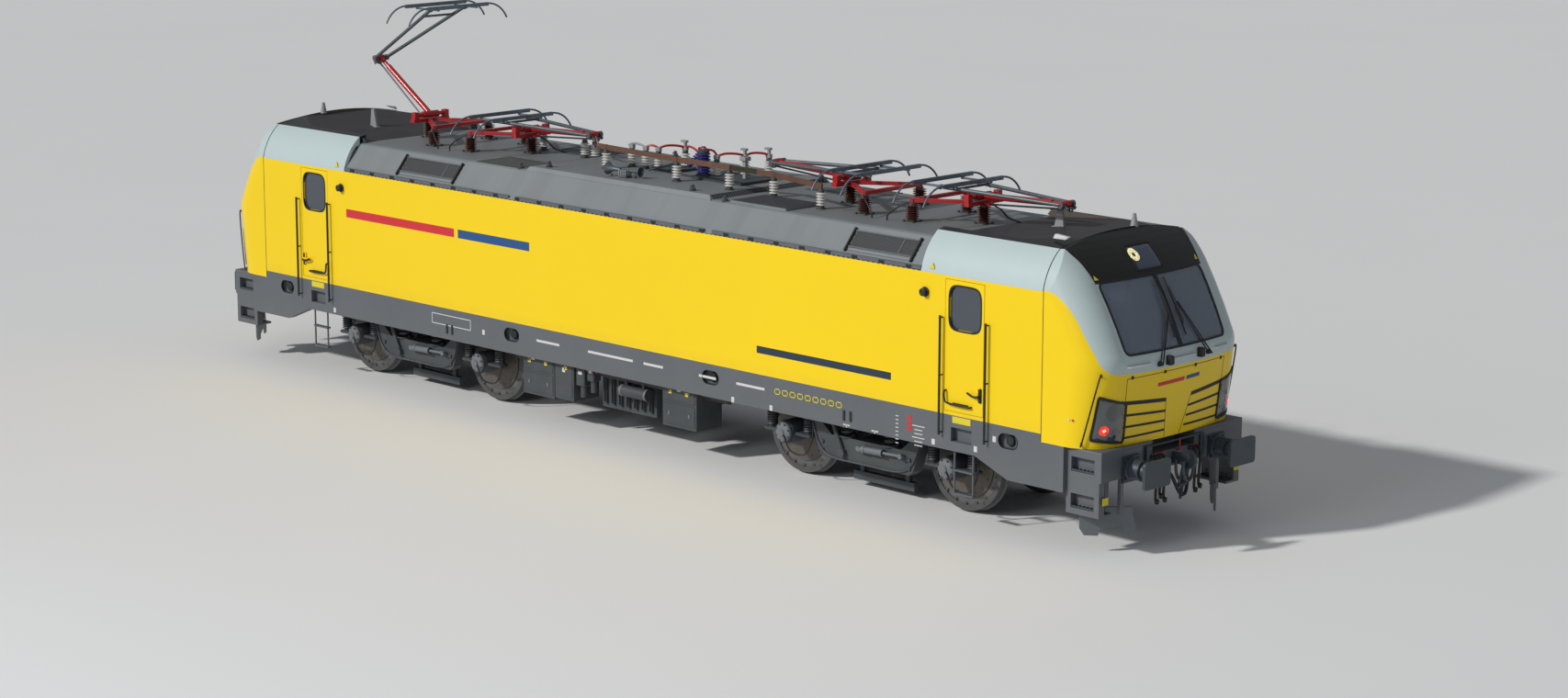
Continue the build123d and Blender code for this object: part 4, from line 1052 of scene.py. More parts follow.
# Blank plates on the sills
tags = (
    (2.555, 1.05), (3.30, 1.05), (6.282, 1.078), (7.013, 1.10), (7.33, 1.285), (-2.75, 1.24), (-6.35, 1.08),
)
white = [onSide(x, z, 0.055, 0.075) for x, z in tags]
for x in (4.722, 5.241):
    white += [onSide(x, 1.045, 0.12, 0.018), onSide(x, 1.03, 0.018, 0.035)]
white += [onSide(5.64, 1.32 - 0.052 * k, 0.05, 0.012) for k in range(8)]
white += [onSide(6.02, 1.24 - 0.052 * k, 0.14 if k % 3 else 0.22, 0.012) for k in range(6)]
for x, width in ((-1.30, 0.5), (0.05, 0.95), (0.95, 0.40), (2.05, 0.34), (2.9, 0.55)):
    white.append(onSide(x, 1.29, width, 0.035))
white += [onSide(x, 1.30, 0.012, 0.15) for x in (-3.95, -3.05)]
white += [onSide(-3.5, z, 0.9, 0.012) for z in (1.225, 1.375)]
addPiece("whitePlates", bothEnds(joined(white)), "labelWhite")
plates = [onSide(x, 1.428, 0.31, 0.085) for x in (6.766, -6.766)]
for k in range(9):
    frameX = 3.42 + 0.145 * k
    plates += [onSide(frameX, z, 0.105, 0.012) for z in (1.262, 1.330)]
    plates += [onSide(frameX + shift, 1.296, 0.012, 0.08) for shift in (-0.047, 0.047)]
addPiece("yellowPlates", bothEnds(joined(plates)), "labelYellow")
reds = [onSide(5.86, 1.335 - 0.075 * k, 0.075, 0.05) for k in range(3)]
addPiece("redPlates", bothEnds(joined(reds)), "labelRed")
grips = [onSide(x, 1.17, 0.035, 0.14, 0.012) for x in (4.677, 4.798, -3.6, -3.48)]
addPiece("sillGrips", bothEnds(joined(grips)), "blackPaint")
jacks = []
for x in (-7.56, -2.11, 2.11, 7.56):
    turn = np.linspace(0, 2 * np.pi, 40, endpoint=False)
    shift = np.where(np.cos(turn) > 0, 0.065, -0.065)
    line = np.c_[x + shift + 0.098 * np.cos(turn), np.zeros(40), 1.292 + 0.098 * np.sin(turn)]
    inner = np.c_[x + shift + 0.092 * np.cos(turn), np.zeros(40), 1.292 + 0.092 * np.sin(turn)]
    rings = [line + [0, -1.500, 0], line + [0, -1.512, 0], inner + [0, -1.512, 0], inner + [0, -1.47, 0]]
    jacks.append((np.vstack(rings), gridFaces(4, 40, True, True)))
    jacks.append(
        lathe([(0.07, 0), (0.07, 0.02), (0.06, 0.032), (0.0, 0.034)], (x, -1.44, 1.292), (0, -1, 0), 20)
    )
addPiece("jackRims", fourWays(joined(jacks)), "gearPaint")
print("sides: gutter, doors, plates")


# ---------- roof

slope = dict(low=(1.506, 3.317), high=(1.190, 3.700))


def onSlope(x, t, lift=0.0):
    # Point on the right roof slope, t going from its foot to its top.
    a, b = np.array(slope["low"]), np.array(slope["high"])
    out = np.array([b[1] - a[1], a[0] - b[0]])
    out = out / np.linalg.norm(out)
    t = np.asarray(t, float)
    y = a[0] + (b[0] - a[0]) * t + out[0] * lift
    z = a[1] + (b[1] - a[1]) * t + out[1] * lift
    return np.stack(np.broadcast_arrays(np.asarray(x, float), -y, z), -1)


def slopePlate(x0, x1, t0, t1, low, high):
    # A flat plate on the slope.
    corners = [(x0, t0), (x1, t0), (x1, t1), (x0, t1)]
    base = np.array([onSlope(x, t, low) for x, t in corners])
    top = np.array([onSlope(x, t, high) for x, t in corners])
    return prism(base, top[0] - base[0])


screens, frames, posts = [], [], []
for x0, x1 in ((-4.76, -3.526), (4.66, 5.76)):
    screens.append(slopePlate(x0, x1, 0.34, 0.80, -0.002, 0.004))
    middle = x0 + (x1 - x0) * 0.78
    frames += [
        slopePlate(x0 - 0.02, x1 + 0.02, 0.80, 0.84, -0.002, 0.016),
        slopePlate(x0 - 0.02, x1 + 0.02, 0.30, 0.34, -0.002, 0.016),
        slopePlate(middle, middle + 0.018, 0.34, 0.80, -0.002, 0.010)
    ]
    frames += [slopePlate(x0 - 0.02, x1 + 0.02, 0.19, 0.205, -0.002, 0.006)]
    for x in (x0 - 0.05, x1 + 0.03):
        posts.append(slopePlate(x, x + 0.026, 0.16, 0.90, -0.002, 0.034))
        posts += [
            slopePlate(x - 0.012, x + 0.038, t, t + 0.035, -0.002, 0.022)
            for t in (0.2, 0.36, 0.52, 0.68, 0.84)
        ]
# Roof screens whose holes carry painted shade.
addPiece("roofScreens", bothEnds(joined(screens)), "meshScreenShadedHoles")
addPiece("roofScreenFrames", bothEnds(joined(frames)), "sillPaint")
addPiece("roofScreenPosts", bothEnds(joined(posts)), "blackPaint")

# Louvres over the hatches and on the hood's ends, with black sheets of painted shade behind them
louvres = [box((x, -1.148, 3.748), (x + 0.012, -0.482, 3.7575)) for x in np.arange(2.175, 3.20, 0.028)]
# A black bed under the louvres: painted shade seen in the gaps between the blades.
louvreShadeBed = box((2.16, -1.142, 3.744), (3.207, -0.488, 3.7515))
addPiece("hatchLouvres", bothEnds(joined(louvres)), "sillPaint")
addPiece("hatchLouvreShadeBeds", bothEnds(louvreShadeBed), "blackPaint")
addPiece(
    "flatHatches", bothEnds(box((-3.252, -1.14, 3.70), (-2.340, -0.516, 3.7225), 0.003)), "hatchGrey",
)
edge = []
for k in np.arange(-3.26, -2.33, 0.05):
    edge += [box((k, y, 3.716), (k + 0.03, y + 0.012, 3.7245)) for y in (-1.152, -0.514)]
for k in np.arange(-1.14, -0.53, 0.05):
    edge += [box((x, k, 3.716), (x + 0.012, k + 0.03, 3.7245)) for x in (-3.264, -2.338)]
addPiece("hatchEdges", bothEnds(joined(edge)), "blackPaint")
slats = []
for y in np.arange(-1.14, 1.14, 0.045):
    for x, s in ((1.792, -1), (-2.112, 1)):
        slats.append(tube(np.array([(x - s * 0.002, y, 3.722), (x + s * 0.057, y, 3.774)]), 0.010, 4))
addPiece("hoodSlats", joined(slats), "gearPaint")
# A black panel behind the hood end's slats: painted shade seen between them.
panel = prism(
    [(1.797, -1.13, 3.7185), (1.797, 1.13, 3.7185), (1.738, 1.13, 3.7745), (1.738, -1.13, 3.7745)],
    (0.001, 0, 0.001)
)
addPiece("hoodEndShadePanel", panel, "blackPaint")

# Lifting lugs, aerials, lenses
lugs = []
for x, y, z in (
    (-6.0, -1.12, 3.70), (-2.288, -1.13, 3.71), (-1.795, -1.009, 3.775), (1.285, -1.05, 3.775),
    (2.02, -1.13, 3.71)
):
    lugs.append(
        lathe(
            [
                (0.05, 0), (0.05, 0.02), (0.022, 0.03), (0.022, 0.06), (0.032, 0.07), (0.02, 0.085),
                (0, 0.088)
            ],
            (x, y, z), (0, 0, 1), 14
        )
    )
    lugs.append(rod((x - 0.05, y, z + 0.045), (x + 0.05, y, z + 0.045), 0.012, 8))
addPiece("liftingLugs", bothEnds(joined(lugs)), "gearPaint")
aerials = [
    lathe(
        [(0.055, 0), (0.05, 0.02), (0.034, 0.1), (0.022, 0.17), (0.0, 0.176)], (8.06, 0.325, 3.915),
        (0, 0, 1), 18
    )
]
blade = [(6.86, 0.18, 3.79), (7.02, 0.18, 3.79), (6.985, 0.18, 4.07), (6.925, 0.18, 4.07)]
aerials.append(prism(np.array(blade) - [0, 0.02, 0], (0, 0.04, 0)))
aerials.append(box((6.84, 0.12, 3.775), (7.04, 0.24, 3.80), 0.008))
addPiece("aerials", bothEnds(joined(aerials)), "aerialGrey")
lens = prism(
    [(7.80, -0.98, 3.885), (8.05, -1.04, 3.90), (8.05, -0.98, 3.925), (7.80, -0.94, 3.935)], (0, 0.05, 0)
)
addPiece("cameraLenses", bothEnds(lens), "labelWhite")
print("roof: grilles, hatches, aerials")


# ---------- insulators

def shedProfile(height, core, shed, count, cap):
    # Radius against height: rounded sheds on a core between two caps.
    t = np.linspace(0, 1, count * 10 + 1)
    wave = np.abs(np.sin(t * count * np.pi)) ** 2.2
    radius = core + (shed - core) * wave
    return np.c_[radius, cap + t * (height - 2 * cap)]


def capProfiles(height, radius, cap):
    low = [
        (radius * 1.25, 0), (radius * 1.25, cap * 0.35), (radius * 0.85, cap * 0.45), (radius * 0.85, cap)
    ]
    high = [
        (radius * 0.8, height - cap), (radius * 0.8, height - cap * 0.3), (radius * 0.6, height),
        (radius * 0.6, height + 0.001)
    ]
    return low, high


hood = dict(near=-2.110, far=1.790, roof=3.718, rise=0.057)
busLine = ((-1.110, -0.500), (0.510, -0.620), (1.598, -0.633), (2.240, -0.395), (3.420, -0.670))
switchLine = (
    (-0.985, -0.102), (-0.679, -0.112), (-0.487, -0.039), (-0.276, 0.300), (0.689, 0.002), (0.932, 0.330),
    (1.117, 0.633)
)
farPosts = ((-3.483, 0.366), (-2.421, 0.255), (-2.200, 0.262))
porcelain, caps = [], []
for x, y in busLine + switchLine + farPosts:
    base = hood["roof"] + (hood["rise"] if hood["near"] < x < hood["far"] else 0)
    porcelain.append(lathe(shedProfile(0.273, 0.038, 0.071, 5, 0.04), (x, y, base), sides=22))
    for profile in capProfiles(0.273, 0.055, 0.045):
        caps.append(lathe(profile, (x, y, base), sides=16))
addPiece(
    "whiteInsulators", joined(porcelain), "whitePorcelain",
    replaces=["busbar_insulators"]
)
addPiece("insulatorCaps", joined(caps), "steelCap")

pantographs = (
    ("rear_outer", -5.757, -1), ("rear_inner", -3.361, 1), ("front_inner", 3.361, -1),
    ("front_outer", 5.757, 1)
)
porcelain, caps = [], []
for name, pivot, side in pantographs:
    for ahead, across in ((0.024, 0), (-0.761, -0.549), (-0.761, 0.549)):
        foot = (pivot + side * ahead, across, hood["roof"])
        porcelain.append(lathe(shedProfile(0.262, 0.052, 0.099, 7, 0.028), foot, sides=24))
        for profile in capProfiles(0.262, 0.07, 0.032):
            caps.append(lathe(profile, foot, sides=16))
        for turn in range(4):
            a = math.radians(45 + 90 * turn)
            reach = np.array([math.cos(a), math.sin(a), 0]) * 0.115
            caps.append(
                lathe(
                    [(0.022, 0), (0.022, 0.022), (0.014, 0.026), (0.0, 0.03)], np.array(foot) + reach,
                    sides=8
                )
            )
addPiece(
    "brownInsulators", joined(porcelain), "brownPorcelain",
    replaces=["pantograph_insulators"]
)
addPiece("pantographFeet", joined(caps), "steelCap")
print("roof: insulators")


# ---------- switchgear on the hood

deck = hood["roof"] + hood["rise"]
blue, steel, red, grey = [], [], [], []
blue.append(lathe(shedProfile(0.330, 0.078, 0.108, 8, 0.0), (0.575, -0.155, deck + 0.045), sides=30))
blue.append(
    lathe(shedProfile(0.42, 0.03, 0.048, 8, 0.0), (0.05, 0.05, deck + 0.10), (0.62, 0.10, 0.62), 18)
)
steel += [
    box((-0.60, -0.09, deck), (-0.06, 0.38, deck + 0.04), 0.006),
    box((0.445, -0.28, deck), (1.47, 0.40, deck + 0.042), 0.006)
]
steel.append(
    lathe([(0.11, 0), (0.11, 0.02), (0.085, 0.03), (0.085, 0.05)], (0.575, -0.155, deck + 0.03), sides=24)
)
steel.append(
    lathe([(0.088, 0), (0.088, 0.03), (0.05, 0.05), (0.05, 0.055)], (0.575, -0.155, deck + 0.372), sides=24)
)
grey.append(box((1.18, 0.03, deck + 0.04), (1.24, 0.09, deck + 0.36), 0.006))
grey.append(box((1.15, 0.0, deck + 0.30), (1.27, 0.12, deck + 0.36), 0.006))
steel.append(rod((-0.42, -0.30, deck + 0.03), (0.05, 0.04, deck + 0.20), 0.016, 8))
arms = [
    ((-1.05, -0.105), (-0.679, -0.112), grey), ((-0.679, -0.112), (-0.487, -0.039), red),
    ((-0.487, -0.039), (-0.276, 0.300), red), ((-0.276, 0.300), (0.20, 0.10), red),
    ((0.20, 0.10), (0.575, -0.155), grey), ((0.689, 0.002), (0.932, 0.330), red),
    ((0.932, 0.330), (1.117, 0.633), red)
]
for start, end, kind in arms:
    lift = deck + 0.315
    a, b = np.array([*start, lift]), np.array([*end, lift])
    arch = smooth([a, a + (b - a) * 0.3 + [0, 0, 0.035], a + (b - a) * 0.7 + [0, 0, 0.03], b], 5)
    kind.append(tube(arch, 0.017, 8))
for x, y in switchLine:
    grey.append(box((x - 0.045, y - 0.03, deck + 0.272), (x + 0.045, y + 0.03, deck + 0.33), 0.006))
for x, y in ((0.932, 0.330), (1.117, 0.633), (-0.276, 0.300)):
    grey.append(box((x - 0.02, y - 0.02, deck + 0.32), (x + 0.02, y + 0.02, deck + 0.41), 0.004))
    grey.append(box((x - 0.07, y - 0.03, deck + 0.39), (x + 0.04, y + 0.03, deck + 0.42), 0.004))
red.append(
    tube(
        smooth(
            [
                (0.40, -0.05, deck + 0.31), (0.45, -0.12, deck + 0.42), (0.575, -0.155, deck + 0.425),
                (0.66, -0.05, deck + 0.40), (0.689, 0.002, deck + 0.33)
            ],
            6
        ),
        0.016, 8
    )
)
addPiece("blueInsulators", joined(blue), "bluePorcelain", replaces=["main_switch"])
addPiece("switchPlinths", joined(steel), "gearPaint")
addPiece("switchArmsRed", joined(red), "redPaint")
addPiece("switchArmsGrey", joined(grey), "aerialGrey")
strap = tube(
    smooth(
        [
            (-1.29, -0.486, deck + 0.30), (-1.42, -0.42, deck + 0.42), (-1.60, -0.28, deck + 0.30),
            (-1.95, 0.05, deck + 0.18), (-2.200, 0.262, deck + 0.225)
        ],
        8
    ),
    0.014, 7, 1.6
)
addPiece("copperStraps", strap, "copperBar")


def trumpet(mouth, throat, start, direction):
    # A flared bell along the direction, with a wall.
    profile = [
        (throat, 0), (throat * 1.1, 0.08), (throat * 1.7, 0.15), (mouth * 0.72, 0.20), (mouth, 0.235),
        (mouth * 0.97, 0.24), (mouth * 0.66, 0.20), (throat * 1.3, 0.14), (throat * 0.5, 0.08), (0, 0.075)
    ]
    return lathe(profile, start, direction, 26)


hornParts = [
    trumpet(0.094, 0.024, (-0.335, -0.93, deck + 0.108), (-1, -0.12, 0.02)),
    trumpet(0.072, 0.022, (-0.235, -0.87, deck + 0.097), (1, 0.1, 0.02))
]
hornParts += [
    box((-0.345, -0.96, deck), (-0.19, -0.84, deck + 0.03), 0.006),
    lathe([(0.03, 0), (0.034, 0.05), (0.034, 0.12), (0.0, 0.125)], (-0.285, -0.90, deck), sides=14)
]
hornParts += [
    rod((-0.52, -0.95, deck), (-0.52, -0.94, deck + 0.04), 0.02, 10),
    rod((-0.10, -0.87, deck), (-0.10, -0.87, deck + 0.05), 0.02, 10)
]
addPiece("hornTrumpets", joined(hornParts), "armMetal", replaces=["horns"])
bands = [
    box(
        (-0.345 + 0.042 * k, -0.965, deck + 0.02 + 0.004 * k), (-0.325 + 0.042 * k, -0.835, deck + 0.115),
        0.003
    )
    for k in range(4)
]
addPiece("hornBands", joined(bands), "aerialGrey")
print("roof: switchgear and horns")


# ---------- running gear

wheel = dict(radius=0.625, disc=0.46, boltRing=0.40, bolts=16)
axles = {"front_outer": 6.25, "front_inner": 3.25, "rear_inner": -3.25, "rear_outer": -6.25}
axleHeight = rail + wheel["radius"]
for name, x in axles.items():
    parts = []
    for side in (-1, 1):
        y = side * 0.80
        for k in range(18):
            a = 2 * np.pi * (k + 0.5) / 18
            at = (x + 0.525 * math.cos(a), y + side * 0.0145, axleHeight + 0.525 * math.sin(a))
            parts.append(
                lathe(
                    [(0.021, 0), (0.021, 0.0035), (0.014, 0.0045), (0.012, 0.001), (0.0, 0.001)], at,
                    (0, side, 0), 10
                )
            )
        parts.append(
            lathe(
                [
                    (0.15, 0), (wheel["disc"], 0), (wheel["disc"] + 0.004, 0.004), (wheel["disc"], 0.010),
                    (0.15, 0.010)
                ],
                (x, y, axleHeight), (0, side, 0), 48
            )
        )
        for k in range(wheel["bolts"]):
            a = 2 * np.pi * k / wheel["bolts"]
            at = (
                x + wheel["boltRing"] * math.cos(a), y + side * 0.008,
                axleHeight + wheel["boltRing"] * math.sin(a)
            )
            parts.append(
                lathe([(0.014, 0), (0.014, 0.008), (0.009, 0.010), (0, 0.011)], at, (0, side, 0), 8)
            )
    addPiece(f"{name}Discs", joined(parts), "discMetal", body=f"{name}_wheelset")


def axleBoxParts(x, side):
    # Box round the journal with a bolted cover, spring arms and two coil springs.
    shell, springs = [], []
    outward = (0, side, 0)
    y = side * 0.93
    shell.append(
        lathe(
            [(0.165, 0), (0.165, 0.22), (0.158, 0.25), (0.15, 0.25), (0.15, 0.28), (0.0, 0.285)],
            (x, y, axleHeight), outward, 32
        )
    )
    for k in range(8):
        a = 2 * np.pi * (k + 0.5) / 8
        at = (x + 0.125 * math.cos(a), side * 1.245, axleHeight + 0.125 * math.sin(a))
        shell.append(lathe([(0.013, 0), (0.013, 0.012), (0.0, 0.014)], at, outward, 6))
    low, high = rail + 0.595, rail + 0.640
    for step in (-1, 1):
        near, far = sorted((x + step * 0.10, x + step * 0.445))
        shell.append(sideBox(side, (near, 0.985, low), (far, 1.155, high), 0.012))
        at = (x + step * 0.350, side * 1.070, high)
        springs.append(helix(at, 0.064, 0.0155, rail + 0.870 - high, 5.5))
        shell.append(
            lathe(
                [
                    (0.05, 0), (0.05, 0.03), (0.03, 0.036), (0.03, rail + 0.868 - high),
                    (0.0, rail + 0.868 - high)
                ],
                at, sides=14
            )
        )
        shell.append(
            lathe([(0.085, 0), (0.085, 0.012), (0.0, 0.013)], (at[0], at[1], rail + 0.856), sides=18)
        )
    return shell, springs


def bodySpring(x, side):
    # A tall spring of two coils on a pad.
    foot = (x, side * 1.070, rail + 0.730)
    height = rail + 1.119 - foot[2]
    return [helix(foot, 0.088, 0.021, height, 5), helix(foot, 0.052, 0.013, height, 8)]


def damper(start, end, thick, thin):
    # Cylinder over a thinner rod, with an eye at each end.
    a, b = np.asarray(start, float), np.asarray(end, float)
    middle = a + (b - a) * 0.58
    parts = [
        rod(a + (b - a) * 0.06, middle, thick, 18), rod(middle, b, thin, 12),
        rod(a + (b - a) * 0.1, a + (b - a) * 0.16, thick * 1.15, 18),
        rod(middle - (b - a) * 0.06, middle, thick * 1.12, 18)
    ]
    for at in (a, b):
        parts.append(rod(at - [0, 0.03, 0], at + [0, 0.03, 0], thick * 0.8, 14))
    return parts


for end, centre in (("front", 4.75), ("rear", -4.75)):
    shell, springs, pale, cables = [], [], [], []
    for side in (-1, 1):
        link = [(centre - 0.62, side * 1.185, 1.02), (centre - 0.40, side * 1.185, 0.55)]
        shell.append(tube(np.array(link), 0.035, 12))
        shell += [rod(np.array(at) - [0, 0.045, 0], np.array(at) + [0, 0.045, 0], 0.055, 16) for at in link]
        for edge in (-1, 1):
            shell.append(
                tube(
                    smooth(
                        [
                            (centre + edge * 0.98, side * 1.172, 0.88),
                            (centre + edge * 0.86, side * 1.172, 0.60),
                            (centre + edge * 0.62, side * 1.172, 0.455), (centre, side * 1.172, 0.443)
                        ],
                        6
                    ),
                    0.014, 6
                )
            )
            shell += [
                sideBox(
                    side, (centre + edge * 0.80 - 0.03, 1.15, z),
                    (centre + edge * 0.80 + 0.03, 1.185, z + 0.05), 0.008
                )
                for z in (0.50, 0.62)
            ]
        for axle in (-1.5, 1.5):
            pale.append(
                lathe(
                    [
                        (0.140, 0.270), (0.140, 0.292), (0.128, 0.308), (0.085, 0.322), (0.05, 0.325),
                        (0.045, 0.34), (0.0, 0.342)
                    ],
                    (centre + axle, side * 0.93, axleHeight), (0, side, 0), 32
                )
            )
            s, h = axleBoxParts(centre + axle, side)
            shell += s
            springs += h
            x = centre + axle
            cables.append(
                tube(
                    smooth(
                        [
                            (x + 0.04, side * 1.262, axleHeight - 0.02),
                            (x + 0.20, side * 1.275, axleHeight - 0.22),
                            (x + 0.42, side * 1.22, axleHeight - 0.24),
                            (x + 0.53, side * 1.19, axleHeight + 0.0),
                            (x + 0.52, side * 1.175, axleHeight + 0.24)
                        ],
                        7
                    ),
                    0.011, 7
                )
            )
        for offset in (-0.4, 0.4):
            springs += bodySpring(centre + offset, side)
            shell.append(
                lathe(
                    [(0.13, 0), (0.13, 0.018), (0.0, 0.019)], (centre + offset, side * 1.070, rail + 0.728),
                    sides=22
                )
            )
        pale += damper(
            (centre - 0.06, side * 1.225, rail + 0.640), (centre + 0.70, side * 1.225, rail + 0.660), 0.047,
            0.022
        )
        shell.append(
            sideBox(side, (centre + 0.06, 1.15, rail + 0.60), (centre + 0.12, 1.25, rail + 0.68), 0.01)
        )
    addPiece(
        f"{end}AxleBoxes", joined(shell), "gearPaint", body=f"{end}_bogie",
        replaces=[f"{end}_bogie_suspension"]
    )
    addPiece(f"{end}Springs", joined(springs), "springSteel", body=f"{end}_bogie")
    addPiece(f"{end}Dampers", joined(pale), "lightGear", body=f"{end}_bogie")
    addPiece(f"{end}BogieCables", joined(cables), "blackRubber", body=f"{end}_bogie")
print("running gear: wheels, springs, dampers")


# ---------- ends: buffers, coupling, hoses, steps

ends = dict(buffer=0.875, bufferHeight=1.090)
hoses, reds, labels, steelParts, stepsParts, highlightStrips = [], [], [], [], [], []
for y, drop in ((-0.46, 0.60), (-0.38, 0.66), (-0.30, 0.60), (0.33, 0.62), (0.42, 0.66)):
    line = [
        (9.045, y, 1.16), (9.12, y, 1.17), (9.15, y, 1.10), (9.13, y + 0.015, 0.85),
        (9.12, y + 0.02, drop + 0.03), (9.14, y + 0.02, drop)
    ]
    hoses.append(tube(smooth(line, 7), 0.019, 9))
    hoses.append(
        lathe(
            [(0.028, 0), (0.028, 0.05), (0.02, 0.06), (0.0, 0.062)], (9.14, y + 0.02, drop - 0.03),
            (0.2, 0, 1), 12
        )
    )
    steelParts.append(
        lathe(
            [(0.034, 0), (0.034, 0.03), (0.026, 0.045), (0.026, 0.07), (0.0, 0.071)], (9.038, y, 1.16),
            (1, 0, 0), 14
        )
    )
hoses.append(
    tube(
        smooth(
            [
                (9.045, -0.20, 0.98), (9.16, -0.18, 0.90), (9.20, -0.05, 0.66), (9.19, 0.08, 0.64),
                (9.12, 0.20, 0.80), (9.045, 0.24, 0.95)
            ],
            8
        ),
        0.024, 9
    )
)
for side in (-1, 1):
    y = side * ends["buffer"]
    steelParts.append(
        lathe(
            [
                (0.155, 0), (0.155, 0.025), (0.140, 0.035), (0.140, 0.05), (0.132, 0.052), (0.130, 0.16),
                (0.136, 0.165), (0.136, 0.195), (0.128, 0.2), (0.100, 0.202), (0.098, 0.30), (0.104, 0.305),
                (0.104, 0.33), (0.097, 0.335), (0.0, 0.336)
            ],
            (9.068, y, ends["bufferHeight"]), (1, 0, 0), 30
        )
    )
    for k in range(4):
        a = math.radians(45 + 90 * k)
        at = (9.068, y + 0.185 * math.cos(a) * 0.9, ends["bufferHeight"] + 0.185 * math.sin(a) * 0.9)
        steelParts.append(
            lathe([(0.022, 0), (0.022, 0.018), (0.014, 0.022), (0.0, 0.026)], at, (1, 0, 0), 6)
        )
ring = np.linspace(-0.35, np.pi + 0.35, 22)
for x, y0 in ((9.29, 0.0), (9.17, 0.0)):
    loop = np.c_[np.full(22, x), y0 + 0.105 * np.cos(ring), 1.02 - 0.20 * np.sin(ring)]
    steelParts.append(tube(loop, 0.021, 10))
steelParts.append(tube(np.array([(9.26, -0.105, 1.06), (9.26, 0.105, 1.06)]), 0.028, 12))
screw = np.linspace(0, 1, 60)
steelParts.append(
    tube(
        np.c_[9.20 - 0.02 * screw, 0.004 * np.sin(screw * 90), 0.80 - 0.20 * screw],
        0.022 + 0.004 * np.cos(screw * 90), 8
    )
)
reds.append(
    tube(
        smooth([(9.05, 0.06, 1.18), (9.09, 0.06, 1.20), (9.10, 0.055, 1.30), (9.10, 0.05, 1.335)], 5),
        0.011, 8
    )
)
for y in (-0.44, -0.29, 0.35):
    reds.append(
        tube(smooth([(9.07, y, 1.185), (9.10, y + 0.01, 1.215), (9.10, y + 0.055, 1.225)], 4), 0.009, 7)
    )
reds.append(
    lathe([(0.02, 0), (0.026, 0.015), (0.026, 0.04), (0.0, 0.045)], (9.15, 0.03, 0.655), (0, 0, -1), 12)
)
for x, y in ((9.05, -0.56), (9.05, 0.56)):
    steelParts.append(box((x - 0.012, y - 0.035, 0.99), (x + 0.035, y + 0.035, 1.33), 0.008))
steelParts.append(rod((9.06, -0.56, 1.315), (9.06, 0.56, 1.315), 0.014, 8))
for side in (-1, 1):
    labels.append(sideBox(side, (9.038, 1.40, 0.69), (9.042, 1.29, 0.785)))
    # Pale strips above the buffers, under the step edges and along the headstock's top edges are painted
    # highlights where the edges catch the light.
    highlightStrips.append(sideBox(side, (9.0385, 0.62, 1.285), (9.0425, 1.02, 1.325)))
    for z in (0.601, 1.073):
        for k in range(6):
            x = 8.575 + 0.062 * k
            stepsParts.append(sideBox(side, (x, 1.415, z + 0.003), (x + 0.012, 1.31, z + 0.026), 0.002))
        stepsParts.append(sideBox(side, (8.556, 1.435, z + 0.001), (8.929, 1.42, z + 0.03), 0.003))
        highlightStrips.append(
            tube(np.array([(8.548, side * 1.4415, z - 0.006), (8.937, side * 1.4415, z - 0.006)]), 0.005, 6)
        )
    edgeLine = [(8.50, side * 1.438, 1.361), (9.036, side * 1.438, 1.361), (9.036, side * 0.70, 1.361)]
    highlightStrips.append(tube(np.array(edgeLine[:2]), 0.006, 6))
    highlightStrips.append(tube(np.array(edgeLine[1:]), 0.006, 6))
addPiece("brakeHoses", bothEnds(joined(hoses)), "blackRubber")
addPiece("bufferStems", bothEnds(joined(steelParts)), "bufferSteel")
addPiece("cockHandles", bothEnds(joined(reds)), "redPaint")
addPiece("endLabels", bothEnds(joined(labels)), "labelYellow")
addPiece("stepTreads", bothEnds(joined(stepsParts)), "gearPaint")
# Painted highlights along the headstock and step edges.
addPiece("paintedHighlightEdges", bothEnds(joined(highlightStrips)), "lightGear")
print("ends: buffers, hoses, steps")

# Roof cables that loop from the roof up to the pantograph frames
cables = []
for name, pivot, side in pantographs:
    x0 = pivot - side * 0.76
    cables.append(
        tube(
            smooth(
                [
                    (x0 - side * 0.30, -0.72, 3.715), (x0 - side * 0.28, -0.72, 3.80),
                    (x0 - side * 0.12, -0.66, 3.93), (x0 + side * 0.02, -0.56, 3.985)
                ],
                8
            ),
            0.011, 7
        )
    )
    cables.append(
        tube(
            smooth(
                [
                    (pivot + side * 0.05, 0.09, 3.985), (pivot + side * 0.17, 0.18, 3.90),
                    (pivot + side * 0.20, 0.30, 3.78), (pivot + side * 0.34, 0.42, 3.715)
                ],
                8
            ),
            0.011, 7
        )
    )
addPiece("roofCables", joined(cables), "blackRubber")

# Lids, hinges and pipes under the floor between the bogies
lids, pipes, knobs = [], [], []
for low, high in ((-2.003, -1.315), (1.002, 1.692)):
    for z in (0.47, 0.80):
        lids.append(box((low + 0.03, -1.383, z), (high - 0.03, -1.373, z + 0.29), 0.004))
        knobs += [
            box((x, -1.392, z + 0.12), (x + 0.035, -1.38, z + 0.18), 0.004)
            for x in (low + 0.12, high - 0.16)
        ]
lids.append(box((-1.27, -1.383, 0.50), (-0.92, -1.373, 1.08), 0.004))
for x in np.arange(-1.98, -1.33, 0.055):
    lids.append(box((x, -1.3805, 1.085), (x + 0.03, -1.374, 1.10), 0.002))
for low, high, bottom, top in ((-0.86, -0.68, 0.70, 1.02), (-0.62, -0.48, 0.80, 1.05)):
    lids.append(box((low, -1.36, bottom), (high, -1.20, top), 0.012))
    lids.append(
        lathe(
            [(0.05, 0), (0.05, 0.16), (0.035, 0.18), (0.0, 0.182)],
            ((low + high) / 2, -1.28, bottom - 0.17), sides=18
        )
    )
for z, y in ((0.94, -1.30), (0.90, -1.25)):
    pipes.append(rod((-2.25, y, z), (2.25, y, z), 0.016, 8))
for x in np.arange(-0.45, 0.60, 0.16):
    pipes.append(box((x, -1.20, 0.50), (x + 0.02, -1.165, 0.93), 0.003))
